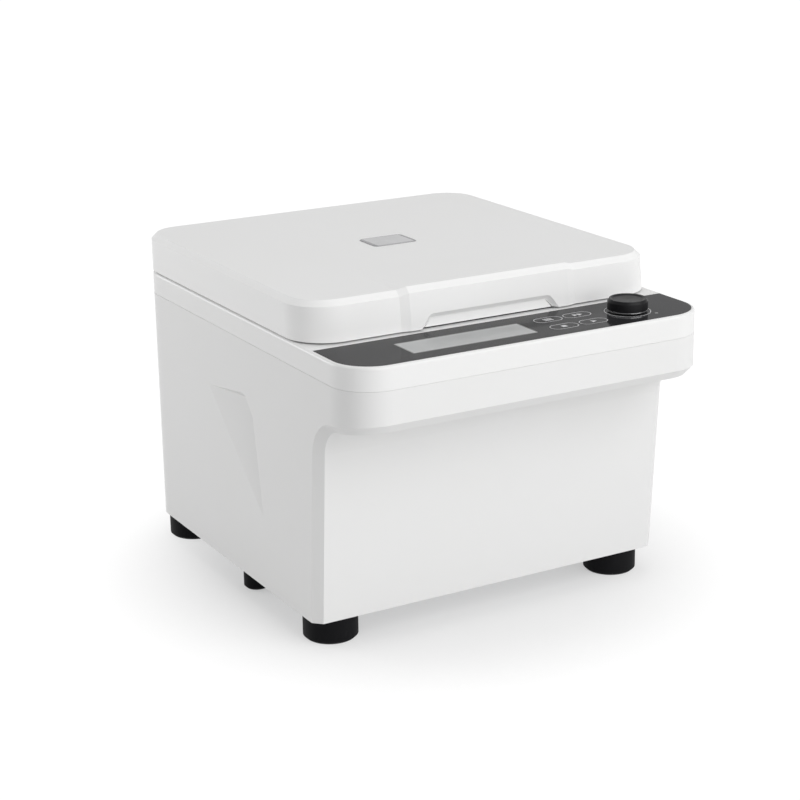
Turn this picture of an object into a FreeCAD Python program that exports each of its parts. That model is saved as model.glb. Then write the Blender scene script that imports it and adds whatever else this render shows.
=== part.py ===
import FreeCAD, Part
import math
import os
import Sketcher

# Low-speed bench centrifuge. A moulded housing stands on rubber feet and carries a console at the
# front. A hinged lid closes a steel bowl, where an angle rotor turns on the motor's shaft.
# Millimetres. The origin is on the floor under the middle of the outline, +Z is up and the console
# faces -Y.

doc = FreeCAD.newDocument("Centrifuge")
sheet = doc.addObject("Spreadsheet::Sheet", "Sizes")
nodes = []


# Sizes and formulas

class Size:
    """A number together with the sheet formula that gives it."""

    def __init__(self, number, formula):
        self.number = float(number)
        self.formula = formula

    def __add__(self, other):
        other = as_size(other)
        return Size(self.number + other.number, "(%s + %s)" % (self.formula, other.formula))

    def __sub__(self, other):
        other = as_size(other)
        return Size(self.number - other.number, "(%s - %s)" % (self.formula, other.formula))

    def __mul__(self, other):
        other = as_size(other)
        return Size(self.number * other.number, "(%s * %s)" % (self.formula, other.formula))

    def __truediv__(self, other):
        other = as_size(other)
        return Size(self.number / other.number, "(%s / %s)" % (self.formula, other.formula))

    def __neg__(self):
        return as_size(0) - self

    def __radd__(self, other):
        return as_size(other) + self

    def __rsub__(self, other):
        return as_size(other) - self

    def __rmul__(self, other):
        return as_size(other) * self


def as_size(value):
    if isinstance(value, Size):
        return value
    return Size(value, "(%.6f)" % value)


def size(alias, number):
    row = len(sheet.getUsedCells()) // 2 + 1
    sheet.set("A%d" % row, alias.replace("_", " "))
    sheet.set("B%d" % row, str(number))
    sheet.setAlias("B%d" % row, alias)
    return Size(number, "Sizes." + alias)


def sine(angle):
    return Size(math.sin(math.radians(angle.number)), "sin(%s)" % angle.formula)


def cosine(angle):
    return Size(math.cos(math.radians(angle.number)), "cos(%s)" % angle.formula)


def bind(thing, path, value):
    thing.setExpression(path, as_size(value).formula)


# Sketches

def body(label):
    made = doc.addObject("PartDesign::Body", label)
    made.Label = label
    return made


def sketch(owner, plane, offset=0):
    made = owner.newObject("Sketcher::SketchObject", owner.Label + "_sketch")
    datum = [part for part in owner.Origin.OriginFeatures if part.Role == plane + "_Plane"][0]
    made.AttachmentSupport = (datum, [""])
    made.MapMode = "FlatFace"
    made.AttachmentOffset = FreeCAD.Placement(
        FreeCAD.Vector(0, 0, as_size(offset).number), FreeCAD.Rotation())
    bind(made, "AttachmentOffset.Base.z", offset)
    return made


def measured(kind, where, value):
    value = as_size(value)
    return Sketcher.Constraint(kind, *where, value.number), value


def at_point(item, end, x, y):
    return [measured("DistanceX", (-1, 1, item, end), x), measured("DistanceY", (-1, 1, item, end), y)]


def constrain(drawing, rules):
    """Adds the rules in one step and binds those that carry a size."""
    first = drawing.ConstraintCount
    drawing.addConstraint([rule for rule, value in rules])
    for n, (rule, value) in enumerate(rules):
        if value is not None:
            bind(drawing, "Constraints[%d]" % (first + n), value)


def circle(drawing, x, y, radius):
    x, y, radius = as_size(x), as_size(y), as_size(radius)
    centre = FreeCAD.Vector(x.number, y.number, 0)
    item = drawing.addGeometry(Part.Circle(centre, FreeCAD.Vector(0, 0, 1), radius.number), False)
    constrain(drawing, at_point(item, 3, x, y) + [measured("Radius", (item,), radius)])


def unit(start, end):
    step = end - start
    return step.multiply(1 / step.Length)


def path(drawing, points):
    """A closed outline through (x, y) or (x, y, radius) points, each corner held by the sheet."""
    corners = [FreeCAD.Vector(as_size(p[0]).number, as_size(p[1]).number, 0) for p in points]
    count = len(points)
    starts, ends, arcs = [], [], []
    for n, point in enumerate(points):
        corner = corners[n]
        if len(point) == 2:
            starts.append(corner)
            ends.append(corner)
            arcs.append(None)
            continue
        before = unit(corner, corners[n - 1])
        after = unit(corner, corners[(n + 1) % count])
        half = math.acos(before.dot(after)) / 2
        radius = as_size(point[2]).number
        reach = radius / math.tan(half)
        inward = before + after
        centre = corner + inward.multiply(radius / math.sin(half) / inward.Length)
        starts.append(corner + before * reach)
        ends.append(corner + after * reach)
        arcs.append((centre, radius, before.cross(after).z < 0))
    shapes = [Part.LineSegment(ends[n], starts[(n + 1) % count]) for n in range(count)]
    lines = drawing.addGeometry(shapes, False)
    rules = []
    for n, point in enumerate(points):
        coming, going = lines[n - 1], lines[n]
        if arcs[n] is None:
            rules.append((Sketcher.Constraint("Coincident", coming, 2, going, 1), None))
            rules += at_point(going, 1, point[0], point[1])
            continue
        centre, radius, left_turn = arcs[n]
        ring = Part.Circle(centre, FreeCAD.Vector(0, 0, 1), radius)
        first, last = (starts[n], ends[n]) if left_turn else (ends[n], starts[n])
        angles = [math.atan2(*reversed((spot - centre)[:2])) for spot in (first, last)]
        arc = drawing.addGeometry(Part.ArcOfCircle(ring, angles[0], angles[1]), False)
        near, far = (1, 2) if left_turn else (2, 1)
        corner = drawing.addGeometry(Part.Point(corners[n]), True)
        rules.append((Sketcher.Constraint("Tangent", coming, 2, arc, near), None))
        rules.append((Sketcher.Constraint("Tangent", arc, far, going, 1), None))
        rules.append((Sketcher.Constraint("PointOnObject", corner, 1, coming), None))
        rules.append((Sketcher.Constraint("PointOnObject", corner, 1, going), None))
        rules += at_point(corner, 1, point[0], point[1])
        rules.append(measured("Radius", (arc,), point[2]))
    constrain(drawing, rules)


def rectangle(drawing, left, right, low, high, radius=None):
    corners = [(left, low), (right, low), (right, high), (left, high)]
    if radius is not None:
        corners = [(x, y, radius) for x, y in corners]
    path(drawing, corners)


def pill(drawing, x, y, width, height):
    rectangle(drawing, x - width / 2, x + width / 2, y - height / 2, y + height / 2, height * 0.49)


def upright_pill(drawing, x, y, width, height):
    rectangle(drawing, x - width / 2, x + width / 2, y - height / 2, y + height / 2, width * 0.49)


# Features

def pad(owner, drawing, length, down=False, middle=False, kind="Pad"):
    feature = owner.newObject("PartDesign::" + kind, owner.Label + "_" + kind.lower())
    feature.Profile = drawing
    feature.Reversed = down
    if middle:
        feature.SideType = "Symmetric"
    bind(feature, "Length", length)
    drawing.Visibility = False
    return feature


def pocket(owner, drawing, length, down=False, middle=False):
    """Takes the outline away: along the sketch's normal, or against it where down is set."""
    return pad(owner, drawing, length, not down, middle, "Pocket")


def repeat(owner, feature, drawing, axis, spacing, count):
    """Repeats a feature along an axis of its sketch."""
    pattern = owner.newObject("PartDesign::LinearPattern", owner.Label + "_pattern")
    pattern.Originals = [feature]
    pattern.Direction = (drawing, [axis])
    bind(pattern, "Length", spacing * (count - 1))
    pattern.Occurrences = count
    owner.Tip = pattern
    return pattern


def loft(owner, drawings, kind="AdditiveLoft"):
    feature = owner.newObject("PartDesign::" + kind, owner.Label + "_" + kind.lower())
    feature.Profile = drawings[0]
    feature.Sections = drawings[1:]
    feature.Ruled = True
    return feature


def revolve(owner, drawing, kind="Revolution"):
    feature = owner.newObject("PartDesign::" + kind, owner.Label + "_" + kind.lower())
    feature.Profile = drawing
    feature.ReferenceAxis = (drawing, ["V_Axis"])
    feature.Angle = 360
    return feature


def dress(owner, kind, chosen, value):
    """Fillets or chamfers the edges of the body's tip that the test picks."""
    doc.recompute()
    tip = owner.Tip
    names = ["Edge%d" % (n + 1) for n, edge in enumerate(tip.Shape.Edges) if chosen(edge)]
    feature = owner.newObject("PartDesign::" + kind, owner.Label + "_" + kind.lower())
    feature.Base = (tip, names)
    bind(feature, "Radius" if kind == "Fillet" else "Size", value)
    return feature


def turned(label, outline, x=0, y=0, z=0):
    """A body of revolution about a vertical axis, from (radius, height) points."""
    made = body(label)
    drawing = sketch(made, "XZ")
    path(drawing, outline)
    revolve(made, drawing)
    return place(made, x, y, z)


def place(thing, x=0, y=0, z=0, axis=(0, 0, 1), angle=0):
    x, y, z, angle = as_size(x), as_size(y), as_size(z), as_size(angle)
    turn = FreeCAD.Rotation(FreeCAD.Vector(*axis), angle.number)
    thing.Placement = FreeCAD.Placement(FreeCAD.Vector(x.number, y.number, z.number), turn)
    bind(thing, "Placement.Base.x", x)
    bind(thing, "Placement.Base.y", y)
    bind(thing, "Placement.Base.z", z)
    if angle.number:
        bind(thing, "Placement.Rotation.Angle", angle)
    return thing


def rod(label, radius, length, x, y, z, axis=(0, 0, 1), angle=0):
    made = doc.addObject("Part::Cylinder", label)
    bind(made, "Radius", radius)
    bind(made, "Height", length)
    return place(made, x, y, z, axis, angle)


def block(label, x_span, y_span, z_span):
    made = doc.addObject("Part::Box", label)
    for name, span in (("Length", x_span), ("Width", y_span), ("Height", z_span)):
        bind(made, name, as_size(span[1]) - span[0])
    return place(made, x_span[0], y_span[0], z_span[0])


def join(label, pieces):
    made = doc.addObject("Part::MultiFuse", label)
    made.Shapes = pieces
    return made


def group(label, pieces):
    made = doc.addObject("Part::Compound", label)
    made.Links = pieces
    return made


def cut(label, base, pieces):
    made = doc.addObject("Part::Cut", label)
    made.Base = base
    made.Tool = pieces[0] if len(pieces) == 1 else group(label + "_tools", pieces)
    return made


def node(thing, label):
    thing.Label = label
    nodes.append(thing)
    return thing


# Driving sizes

case_width = size("case_width", 330)
case_depth = size("case_depth", 394)
foot_height = size("foot_height", 23.5)
lower_height = size("lower_height", 180)
console_height = size("console_height", 26.8)
frame_height = size("frame_height", 19.3)
lid_gap = size("lid_gap", 1.4)
lid_height = size("lid_height", 32)
wall = size("wall", 4)
front_corner = size("front_corner", 34)
rear_corner = size("rear_corner", 32)
console_overhang = size("console_overhang", 57)
panel_lean = size("panel_lean", 12)
bevel = size("bevel", 7)
underside_round = size("underside_round", 27)
underside_drop = size("underside_drop", 7)
frame_edge = size("frame_edge", 2.5)
seam_line = size("seam_line", 0.4)
fit_gap = size("fit_gap", 0.3)
slip_gap = size("slip_gap", 0.15)
shaft_gap = size("shaft_gap", 0.05)

half_width = case_width / 2
rear = case_depth / 2
front = -rear
case_bottom = foot_height
console_edge = foot_height + lower_height
case_seam = console_edge + console_height
frame_top = case_seam + frame_height
lid_bottom = frame_top + lid_gap
lid_top = lid_bottom + lid_height
console_bottom = console_edge - bevel
front_foot_line = front + console_overhang + panel_lean

chamber_y = size("chamber_y", 36)
bowl_radius = size("bowl_radius", 135)
bowl_sheet = size("bowl_sheet", 1.2)
bowl_flange = size("bowl_flange", 8)
bowl_floor = size("bowl_floor", 116)
bowl_floor_round = size("bowl_floor_round", 22)
mouth_gap = size("mouth_gap", 1.3)
ring_radius = size("ring_radius", 146)
ring_wall = size("ring_wall", 3)
base_sheet = size("base_sheet", 2)
base_top = case_bottom + base_sheet


# Housing: one side outline gives both the outer form and the hollow inside it

def housing_form(label, inset, bevel_size, low, high):
    made = body(label)
    outline = sketch(made, "YZ")
    lean = panel_lean / (console_bottom - case_bottom)
    low_front = front_foot_line - lean * (low - case_bottom) + inset
    inner_corner = console_bottom - underside_drop + inset
    high_front = front_foot_line - lean * (inner_corner - case_bottom) + inset
    path(outline, [
        (rear - inset, low), (rear - inset, high), (front + inset, high),
        (front + inset, console_bottom + inset),
        (high_front, inner_corner, underside_round + inset), (low_front, low)])
    pad(made, outline, case_width - inset * 2, middle=True)
    doc.recompute()
    side = (half_width - inset).number
    back = (rear - inset).number
    nose = (front + inset).number

    def upright(edge, y_value):
        box = edge.BoundBox
        return (box.XLength < 0.01 and box.YLength < 0.01 and abs(abs(box.XMax) - side) < 0.01
                and abs(box.YMax - y_value) < 0.01)

    def underside(edge):
        box = edge.BoundBox
        flank = box.XLength < 0.01 and abs(abs(box.XMax) - side) < 0.01
        across = box.XLength > 5 and box.YMin < nose + front_corner.number
        low_run = box.ZMax < (console_bottom + inset).number + 0.01
        forward = box.YMax < (front_foot_line + inset).number + 0.01
        return low_run and forward and (flank or (across and box.ZMax > low.number + 9))

    dress(made, "Fillet", lambda edge: upright(edge, back), rear_corner - inset)
    dress(made, "Fillet", lambda edge: upright(edge, nose), front_corner - inset)
    dress(made, "Chamfer", underside, bevel_size)
    return made


scoop_depth = size("scoop_depth", 7)
scoop_front = size("scoop_front", -22)
scoop_rear = size("scoop_rear", 60)
scoop_top = size("scoop_top", 187)
scoop_fall = size("scoop_fall", 12)
scoop_low = size("scoop_low", 86)
scoop_rake = size("scoop_rake", 17)
scoop_slope = size("scoop_slope", 15)


def scoop_form(label, side, grow):
    """A finger scoop that is deepest at its upper front corner and fades out behind and below."""
    made = body(label)
    face = sketch(made, "YZ", side * (half_width + 0.02))
    path(face, [
        (scoop_rear + grow, scoop_top - scoop_fall + grow), (scoop_front - grow, scoop_top + grow, 20),
        (scoop_front - scoop_rake - grow, scoop_low - grow)])
    floor = sketch(made, "YZ", side * (half_width - scoop_depth - grow))
    path(floor, [
        (scoop_front + scoop_slope * 1.7, scoop_top - scoop_slope * 0.6),
        (scoop_front + scoop_slope, scoop_top - scoop_slope * 0.6, 3),
        (scoop_front + scoop_slope * 0.8, scoop_top - scoop_slope * 1.6)])
    loft(made, [face, floor])
    return made


rear_panel_sheet = size("rear_panel_sheet", 1.5)
rear_panel_side = size("rear_panel_side", 124)
rear_panel_low = size("rear_panel_low", 42)
rear_panel_high = size("rear_panel_high", 216)
rear_ledge = size("rear_ledge", 6)
rear_set = size("rear_set", 1.2)
screw_pad = size("screw_pad", 26)
screw_pad_height = size("screw_pad_height", 6)
pad_front_y = size("pad_front_y", -62)
pad_rear_y = size("pad_rear_y", 122)
screw_radius = size("screw_radius", 1.5)
screw_head = size("screw_head", 3)
screw_head_height = size("screw_head_height", 1.2)
pad_x = half_width - wall - screw_pad / 2
panel_back = rear - rear_set
panel_face = panel_back - rear_panel_sheet


def pad_spots():
    return [(x, y) for x in (-pad_x, pad_x) for y in (pad_front_y, pad_rear_y)]


def make_lower_housing():
    outer = housing_form("housing_outside", as_size(0), bevel, case_bottom, case_seam)
    inner = housing_form("housing_inside", wall, bevel * 0.75, case_bottom - 5, case_seam + 5)
    scoops = [scoop_form("scoop_left", -1, as_size(0)), scoop_form("scoop_right", 1, as_size(0))]
    inner_scoops = [scoop_form("scoop_wall_left", -1, wall), scoop_form("scoop_wall_right", 1, wall)]
    dished = cut("housing_dished", outer, scoops)
    hollow = cut("housing_hollow", inner, inner_scoops)
    shell = cut("housing_shell", dished, [hollow])
    side = rear_panel_side
    recess = block("rear_recess", (-side, side), (panel_face, rear + 5),
                   (rear_panel_low, rear_panel_high))
    window = block("rear_window", (-side + rear_ledge, side - rear_ledge), (rear - wall - 5, rear + 5),
                   (rear_panel_low + rear_ledge, rear_panel_high - rear_ledge))
    opened = cut("housing_opened", shell, [join("rear_cuts", [recess, window])])
    half = screw_pad / 2
    pads = [block("screw_pad_block", (x - half, x + half), (y - half, y + half),
                  (base_top, base_top + screw_pad_height)) for x, y in pad_spots()]
    kept = join("housing_with_pads", [opened] + pads)
    holes = [rod("pad_hole", screw_radius, screw_pad_height - 1, x, y, base_top - 0.5)
             for x, y in pad_spots()]
    node(cut("lower_housing_cut", kept, holes), "lower_housing")


base_slot_width = size("base_slot_width", 4)
base_slot_length = size("base_slot_length", 46)
base_slot_pitch = size("base_slot_pitch", 12)
damper_count = 3
damper_circle = size("damper_circle", 62)
damper_radius = size("damper_radius", 12)
damper_height = size("damper_height", 26)


def make_base_plate():
    made = body("base_plate")
    outline = sketch(made, "XY", case_bottom)
    side = half_width - wall - fit_gap
    near = front_foot_line + wall + fit_gap
    far = rear - wall - fit_gap
    rounding = rear_corner - wall - fit_gap
    path(outline, [
        (-side, near + bevel), (-side + bevel, near), (side - bevel, near), (side, near + bevel),
        (side, far, rounding), (-side, far, rounding)])
    pad(made, outline, base_sheet)
    slots = sketch(made, "XY", case_bottom)
    upright_pill(slots, base_slot_pitch * -3, chamber_y, base_slot_width, base_slot_length)
    repeat(made, pocket(made, slots, base_sheet), slots, "H_Axis", base_slot_pitch, 7)
    holes = sketch(made, "XY", case_bottom)
    for x, y in pad_spots():
        circle(holes, x, y, screw_radius)
    pocket(made, holes, base_sheet)
    node(made, "base_plate")


def make_feet():
    foot_radius = size("foot_radius", 22.6)
    foot_edge = size("foot_edge", 2)
    foot_x = size("foot_x", 137.8)
    foot_front_y = size("foot_front_y", -100.5)
    foot_rear_y = size("foot_rear_y", 169)
    places = {"foot_front_left": (-foot_x, foot_front_y), "foot_front_right": (foot_x, foot_front_y),
              "foot_rear_left": (-foot_x, foot_rear_y), "foot_rear_right": (foot_x, foot_rear_y)}
    for label, (x, y) in places.items():
        foot = turned(label, [
            (0, 0), (foot_radius - foot_edge, 0), (foot_radius, foot_edge), (foot_radius, foot_height),
            (0, foot_height)], x, y)
        node(foot, label)
    middle_radius = size("middle_foot_radius", 11.4)
    middle_x = size("middle_foot_x", 146)
    middle_y = size("middle_foot_y", 19.5)
    middle_lift = size("middle_foot_lift", 1)
    pair = [turned("middle_foot", [
        (0, middle_lift), (middle_radius - foot_edge, middle_lift),
        (middle_radius, middle_lift + foot_edge), (middle_radius, foot_height), (0, foot_height)],
        side * middle_x, middle_y) for side in (-1, 1)]
    node(group("centre_feet_pair", pair), "centre_feet")


vent_rows = 9
vent_pitch = size("vent_pitch", 9)
vent_length = size("vent_length", 62)
vent_width = size("vent_width", 3.2)
vent_low = size("vent_low", 122)
vent_x = size("vent_x", 52)
inlet_x = size("inlet_x", 88)
inlet_z = size("inlet_z", 72)
inlet_width = size("inlet_width", 27)
inlet_tall = size("inlet_tall", 20)
inlet_flange = size("inlet_flange", 3)
inlet_depth = size("inlet_depth", 22)
inlet_cavity_width = size("inlet_cavity_width", 23)
inlet_cavity_tall = size("inlet_cavity_tall", 16)
inlet_cavity_depth = size("inlet_cavity_depth", 16)
switch_x = size("switch_x", 48)
switch_width = size("switch_width", 19)
switch_tall = size("switch_tall", 27)
switch_depth = size("switch_depth", 16)


def make_rear_panel():
    made = body("rear_panel")
    sheet_outline = sketch(made, "XZ", -panel_face)
    side = rear_panel_side - fit_gap
    rectangle(sheet_outline, -side, side, rear_panel_low + fit_gap, rear_panel_high - fit_gap)
    pad(made, sheet_outline, rear_panel_sheet, down=True)
    vents = sketch(made, "XZ", -panel_face)
    for side_of in (-1, 1):
        pill(vents, side_of * vent_x, vent_low, vent_length, vent_width)
    repeat(made, pocket(made, vents, rear_panel_sheet, down=True), vents, "V_Axis", vent_pitch, vent_rows)
    openings = sketch(made, "XZ", -panel_face)
    gap = slip_gap
    rectangle(openings, inlet_x - inlet_width / 2 - gap, inlet_x + inlet_width / 2 + gap,
              inlet_z - inlet_tall / 2 - gap, inlet_z + inlet_tall / 2 + gap)
    rectangle(openings, switch_x - switch_width / 2 - gap, switch_x + switch_width / 2 + gap,
              inlet_z - switch_tall / 2 - gap, inlet_z + switch_tall / 2 + gap)
    for x, z in rear_screw_spots():
        circle(openings, x, z, screw_radius)
    pocket(made, openings, rear_panel_sheet, down=True)
    node(made, "rear_panel")


def rear_screw_spots():
    margin = rear_ledge / 2
    return [(side * (rear_panel_side - margin), z) for side in (-1, 1)
            for z in (rear_panel_low + margin, rear_panel_high - margin)]


def make_inlet():
    """An appliance inlet: a flanged tub with three blades, the earth blade above the other two."""
    flange = block("inlet_flange_plate",
                   (inlet_x - inlet_width / 2 - inlet_flange, inlet_x + inlet_width / 2 + inlet_flange),
                   (panel_back, rear),
                   (inlet_z - inlet_tall / 2 - inlet_flange, inlet_z + inlet_tall / 2 + inlet_flange))
    tub = block("inlet_tub", (inlet_x - inlet_width / 2, inlet_x + inlet_width / 2),
                (rear - inlet_depth, panel_back), (inlet_z - inlet_tall / 2, inlet_z + inlet_tall / 2))
    floor = rear - inlet_cavity_depth
    cavity = body("inlet_cavity")
    outline = sketch(cavity, "XZ", -floor)
    x, z = inlet_cavity_width / 2, inlet_cavity_tall / 2
    corner = inlet_cavity_tall / 3
    path(outline, [
        (inlet_x - x, inlet_z - z), (inlet_x + x, inlet_z - z), (inlet_x + x, inlet_z + z - corner),
        (inlet_x + x - corner, inlet_z + z), (inlet_x - x + corner, inlet_z + z),
        (inlet_x - x, inlet_z + z - corner)])
    pad(cavity, outline, inlet_cavity_depth + 5, down=True)
    tub = cut("inlet_shell", join("inlet_blank", [flange, tub]), [cavity])
    blades = []
    for dx, dz in ((-1, -1), (1, -1), (0, 1)):
        bx = inlet_x + inlet_blade_pitch * dx
        bz = inlet_z + inlet_blade_rise * dz
        blades.append(block("inlet_blade", (bx - 1, bx + 1), (floor - 2, rear - 3), (bz - 2, bz + 2)))
    node(join("inlet_with_blades", [tub] + blades), "power_inlet")


inlet_blade_pitch = size("inlet_blade_pitch", 7)
inlet_blade_rise = size("inlet_blade_rise", 3)
rocker_pivot_depth = size("rocker_pivot_depth", 6)
rocker_half = size("rocker_half", 9)
rocker_width = size("rocker_width", 13)
rocker_rise = size("rocker_rise", 4.2)
rocker_dish = size("rocker_dish", 2)
rocker_pin = size("rocker_pin", 1.2)
rocker_pin_length = size("rocker_pin_length", 1.4)
rocker_tilt = size("rocker_tilt", 8)
rocker_y = rear - rocker_pivot_depth


def make_switch():
    flange = block("switch_flange",
                   (switch_x - switch_width / 2 - 1, switch_x + switch_width / 2 + 1),
                   (panel_back, rear),
                   (inlet_z - switch_tall / 2 - 1, inlet_z + switch_tall / 2 + 1))
    shell = block("switch_shell", (switch_x - switch_width / 2, switch_x + switch_width / 2),
                  (rear - switch_depth, panel_back),
                  (inlet_z - switch_tall / 2, inlet_z + switch_tall / 2))
    half_x = rocker_width / 2 + fit_gap
    half_z = rocker_half + 1.2
    well = block("switch_well", (switch_x - half_x, switch_x + half_x),
                 (rocker_y - rocker_rise - 4, rear + 5), (inlet_z - half_z, inlet_z + half_z))
    reach = rocker_width / 2 + rocker_pin_length
    bore = rod("switch_bore", rocker_pin + shaft_gap, reach * 2 + fit_gap * 2,
               switch_x - reach - fit_gap, rocker_y, inlet_z, (0, 1, 0), 90)
    node(cut("switch_hollow", join("switch_blank", [flange, shell]), [well, bore]), "switch_frame")
    rocker = body("rocker")
    outline = sketch(rocker, "YZ")
    path(outline, [
        (-rocker_dish, -rocker_half), (rocker_rise, -rocker_half, 1), (rocker_rise - rocker_dish, 0),
        (rocker_rise, rocker_half, 1), (-rocker_dish, rocker_half)])
    pad(rocker, outline, rocker_width, middle=True)
    place(rocker, switch_x, rocker_y, inlet_z, (-1, 0, 0), rocker_tilt)
    pin = rod("rocker_pins", rocker_pin, reach * 2, switch_x - reach, rocker_y, inlet_z, (0, 1, 0), 90)
    node(join("rocker_with_pins", [rocker, pin]), "power_rocker")


# Upper frame: the deck around the bowl, the console's top and the skirt above the seam

panel_sheet = size("panel_sheet", 1.5)
panel_rim = size("panel_rim", 2.8)
panel_rear = size("panel_rear", -130.5)
panel_floor = frame_top - panel_sheet
deck_wall = size("deck_wall", 4)
deck_under = frame_top - deck_wall
window_left = size("window_left", -101.5)
window_right = size("window_right", 10.5)
window_front = size("window_front", -178)
window_rear = size("window_rear", -147)
key_width = size("key_width", 25)
key_tall = size("key_tall", 13)
key_left_x = size("key_left_x", 37.3)
key_right_x = size("key_right_x", 65)
key_front_y = size("key_front_y", -174)
key_rear_y = size("key_rear_y", -151)
key_lip = size("key_lip", 1)
knob_x = size("knob_x", 106.2)
knob_y = size("knob_y", -162.8)
knob_radius = size("knob_radius", 16.4)
knob_height = size("knob_height", 10.9)
knob_float = size("knob_float", 1.4)
knob_ring_height = size("knob_ring_height", 0.8)
spindle_radius = size("spindle_radius", 3)
led_x = size("led_x", 122)
led_y = size("led_y", -180.4)
led_radius = size("led_radius", 1.5)
board_gap = size("board_gap", 8)
board_sheet = size("board_sheet", 1.6)
board_top = deck_under - board_gap
board_bottom = board_top - board_sheet
board_left = size("board_left", -120)
board_right = size("board_right", 130)
board_front = size("board_front", -188)
board_rear = size("board_rear", -142)
post_radius = size("post_radius", 3)

hinge_rise = size("hinge_rise", 8.4)
hinge_z = frame_top + hinge_rise
hinge_round = hinge_z - lid_bottom
hinge_y = rear - hinge_round
hinge_x = size("hinge_x", 110)
hinge_pin = size("hinge_pin", 2)
hinge_ear = size("hinge_ear", 4)
hinge_ear_width = size("hinge_ear_width", 8)
hinge_clear = size("hinge_clear", 0.6)
hinge_pin_length = size("hinge_pin_length", 30)
hinge_foot = size("hinge_foot", 2)
ear_back = hinge_y + hinge_ear - 1.6

lock_slot_front = size("lock_slot_front", -120.5)
lock_slot_rear = size("lock_slot_rear", -111.2)
lock_slot_width = size("lock_slot_width", 24)
bowl_rim = bowl_radius + bowl_sheet + bowl_flange
mouth_radius = bowl_radius + bowl_sheet + mouth_gap
rebate_depth = size("rebate_depth", 3)
flange_floor = frame_top - rebate_depth


def key_spots():
    return {"key_front_left": (key_left_x, key_front_y), "key_front_right": (key_right_x, key_front_y),
            "key_rear_left": (key_left_x, key_rear_y), "key_rear_right": (key_right_x, key_rear_y)}


def post_spots():
    inset = post_radius + 1
    return [(x, y) for x in (board_left + inset, board_right - inset)
            for y in (board_front + inset, board_rear - inset)]


def deck_outline(drawing, inset, front_edge, rear_edge, front_round, rear_round):
    side = half_width - inset
    path(drawing, [
        (-side, front_edge, front_round), (side, front_edge, front_round),
        (side, rear_edge, rear_round), (-side, rear_edge, rear_round)])


def panel_outline(drawing, grow):
    side = half_width - panel_rim + grow
    near = front + panel_rim - grow
    rounding = front_corner - panel_rim + grow
    path(drawing, [
        (-side, near, rounding), (side, near, rounding), (side, panel_rear + grow),
        (-side, panel_rear + grow)])


def console_cuts(drawing, gap):
    """The openings of the console's top: window, keys, knob spindle and status light."""
    rectangle(drawing, window_left - gap, window_right + gap, window_front - gap, window_rear + gap, 1)
    for x, y in key_spots().values():
        pill(drawing, x, y, key_width + gap * 2, key_tall + gap * 2)
    circle(drawing, knob_x, knob_y, spindle_radius + knob_bush + gap)
    circle(drawing, led_x, led_y, led_radius + gap)


knob_bush = size("knob_bush", 1.5)


def make_upper_frame():
    made = body("frame_form")
    outer = sketch(made, "XY", case_seam)
    deck_outline(outer, as_size(0), front, rear, front_corner, rear_corner)
    pad(made, outer, frame_height)
    hollow = sketch(made, "XY", case_seam)
    deck_outline(hollow, wall, front + wall, rear - wall, front_corner - wall, rear_corner - wall)
    pocket(made, hollow, frame_height - deck_wall)
    side = half_width.number
    top, low = frame_top.number, case_seam.number

    def rim(edge, level):
        box = edge.BoundBox
        reaches = (abs(abs(box.XMax) - side) < 0.1 or abs(abs(box.XMin) - side) < 0.1
                   or abs(box.YMax - rear.number) < 0.1 or abs(box.YMin - front.number) < 0.1)
        return box.ZLength < 0.01 and abs(box.ZMax - level) < 0.01 and reaches

    dress(made, "Fillet", lambda edge: rim(edge, top), frame_edge)
    dress(made, "Chamfer", lambda edge: rim(edge, low), seam_line)
    mouth = sketch(made, "XY", deck_under)
    circle(mouth, 0, chamber_y, mouth_radius)
    pocket(made, mouth, deck_wall)
    rebate = sketch(made, "XY", flange_floor)
    circle(rebate, 0, chamber_y, bowl_rim + fit_gap)
    pocket(made, rebate, rebate_depth)
    bed = sketch(made, "XY", panel_floor)
    panel_outline(bed, slip_gap)
    pocket(made, bed, panel_sheet)
    openings = sketch(made, "XY", deck_under)
    rectangle(openings, window_left - 2, window_right + 2, window_front - 3, window_rear + 3)
    rectangle(openings, key_left_x - key_width / 2 - 3, key_right_x + key_width / 2 + 3,
              key_front_y - key_tall / 2 - 3, key_rear_y + key_tall / 2 + 3)
    circle(openings, knob_x, knob_y, spindle_radius + knob_bush + slip_gap)
    circle(openings, led_x, led_y, led_radius + slip_gap)
    rectangle(openings, -lock_slot_width / 2, lock_slot_width / 2, lock_slot_front, lock_slot_rear)
    for place_x in (-hinge_x, hinge_x):
        reach = hinge_ear_width / 2 + hinge_clear
        rectangle(openings, place_x - reach, place_x + reach, hinge_y - hinge_ear - hinge_clear,
                  ear_back + hinge_clear)
    pocket(made, openings, deck_wall)
    posts = sketch(made, "XY", board_top)
    for x, y in post_spots():
        circle(posts, x, y, post_radius)
    pad(made, posts, board_gap)
    node(made, "upper_frame")


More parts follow.
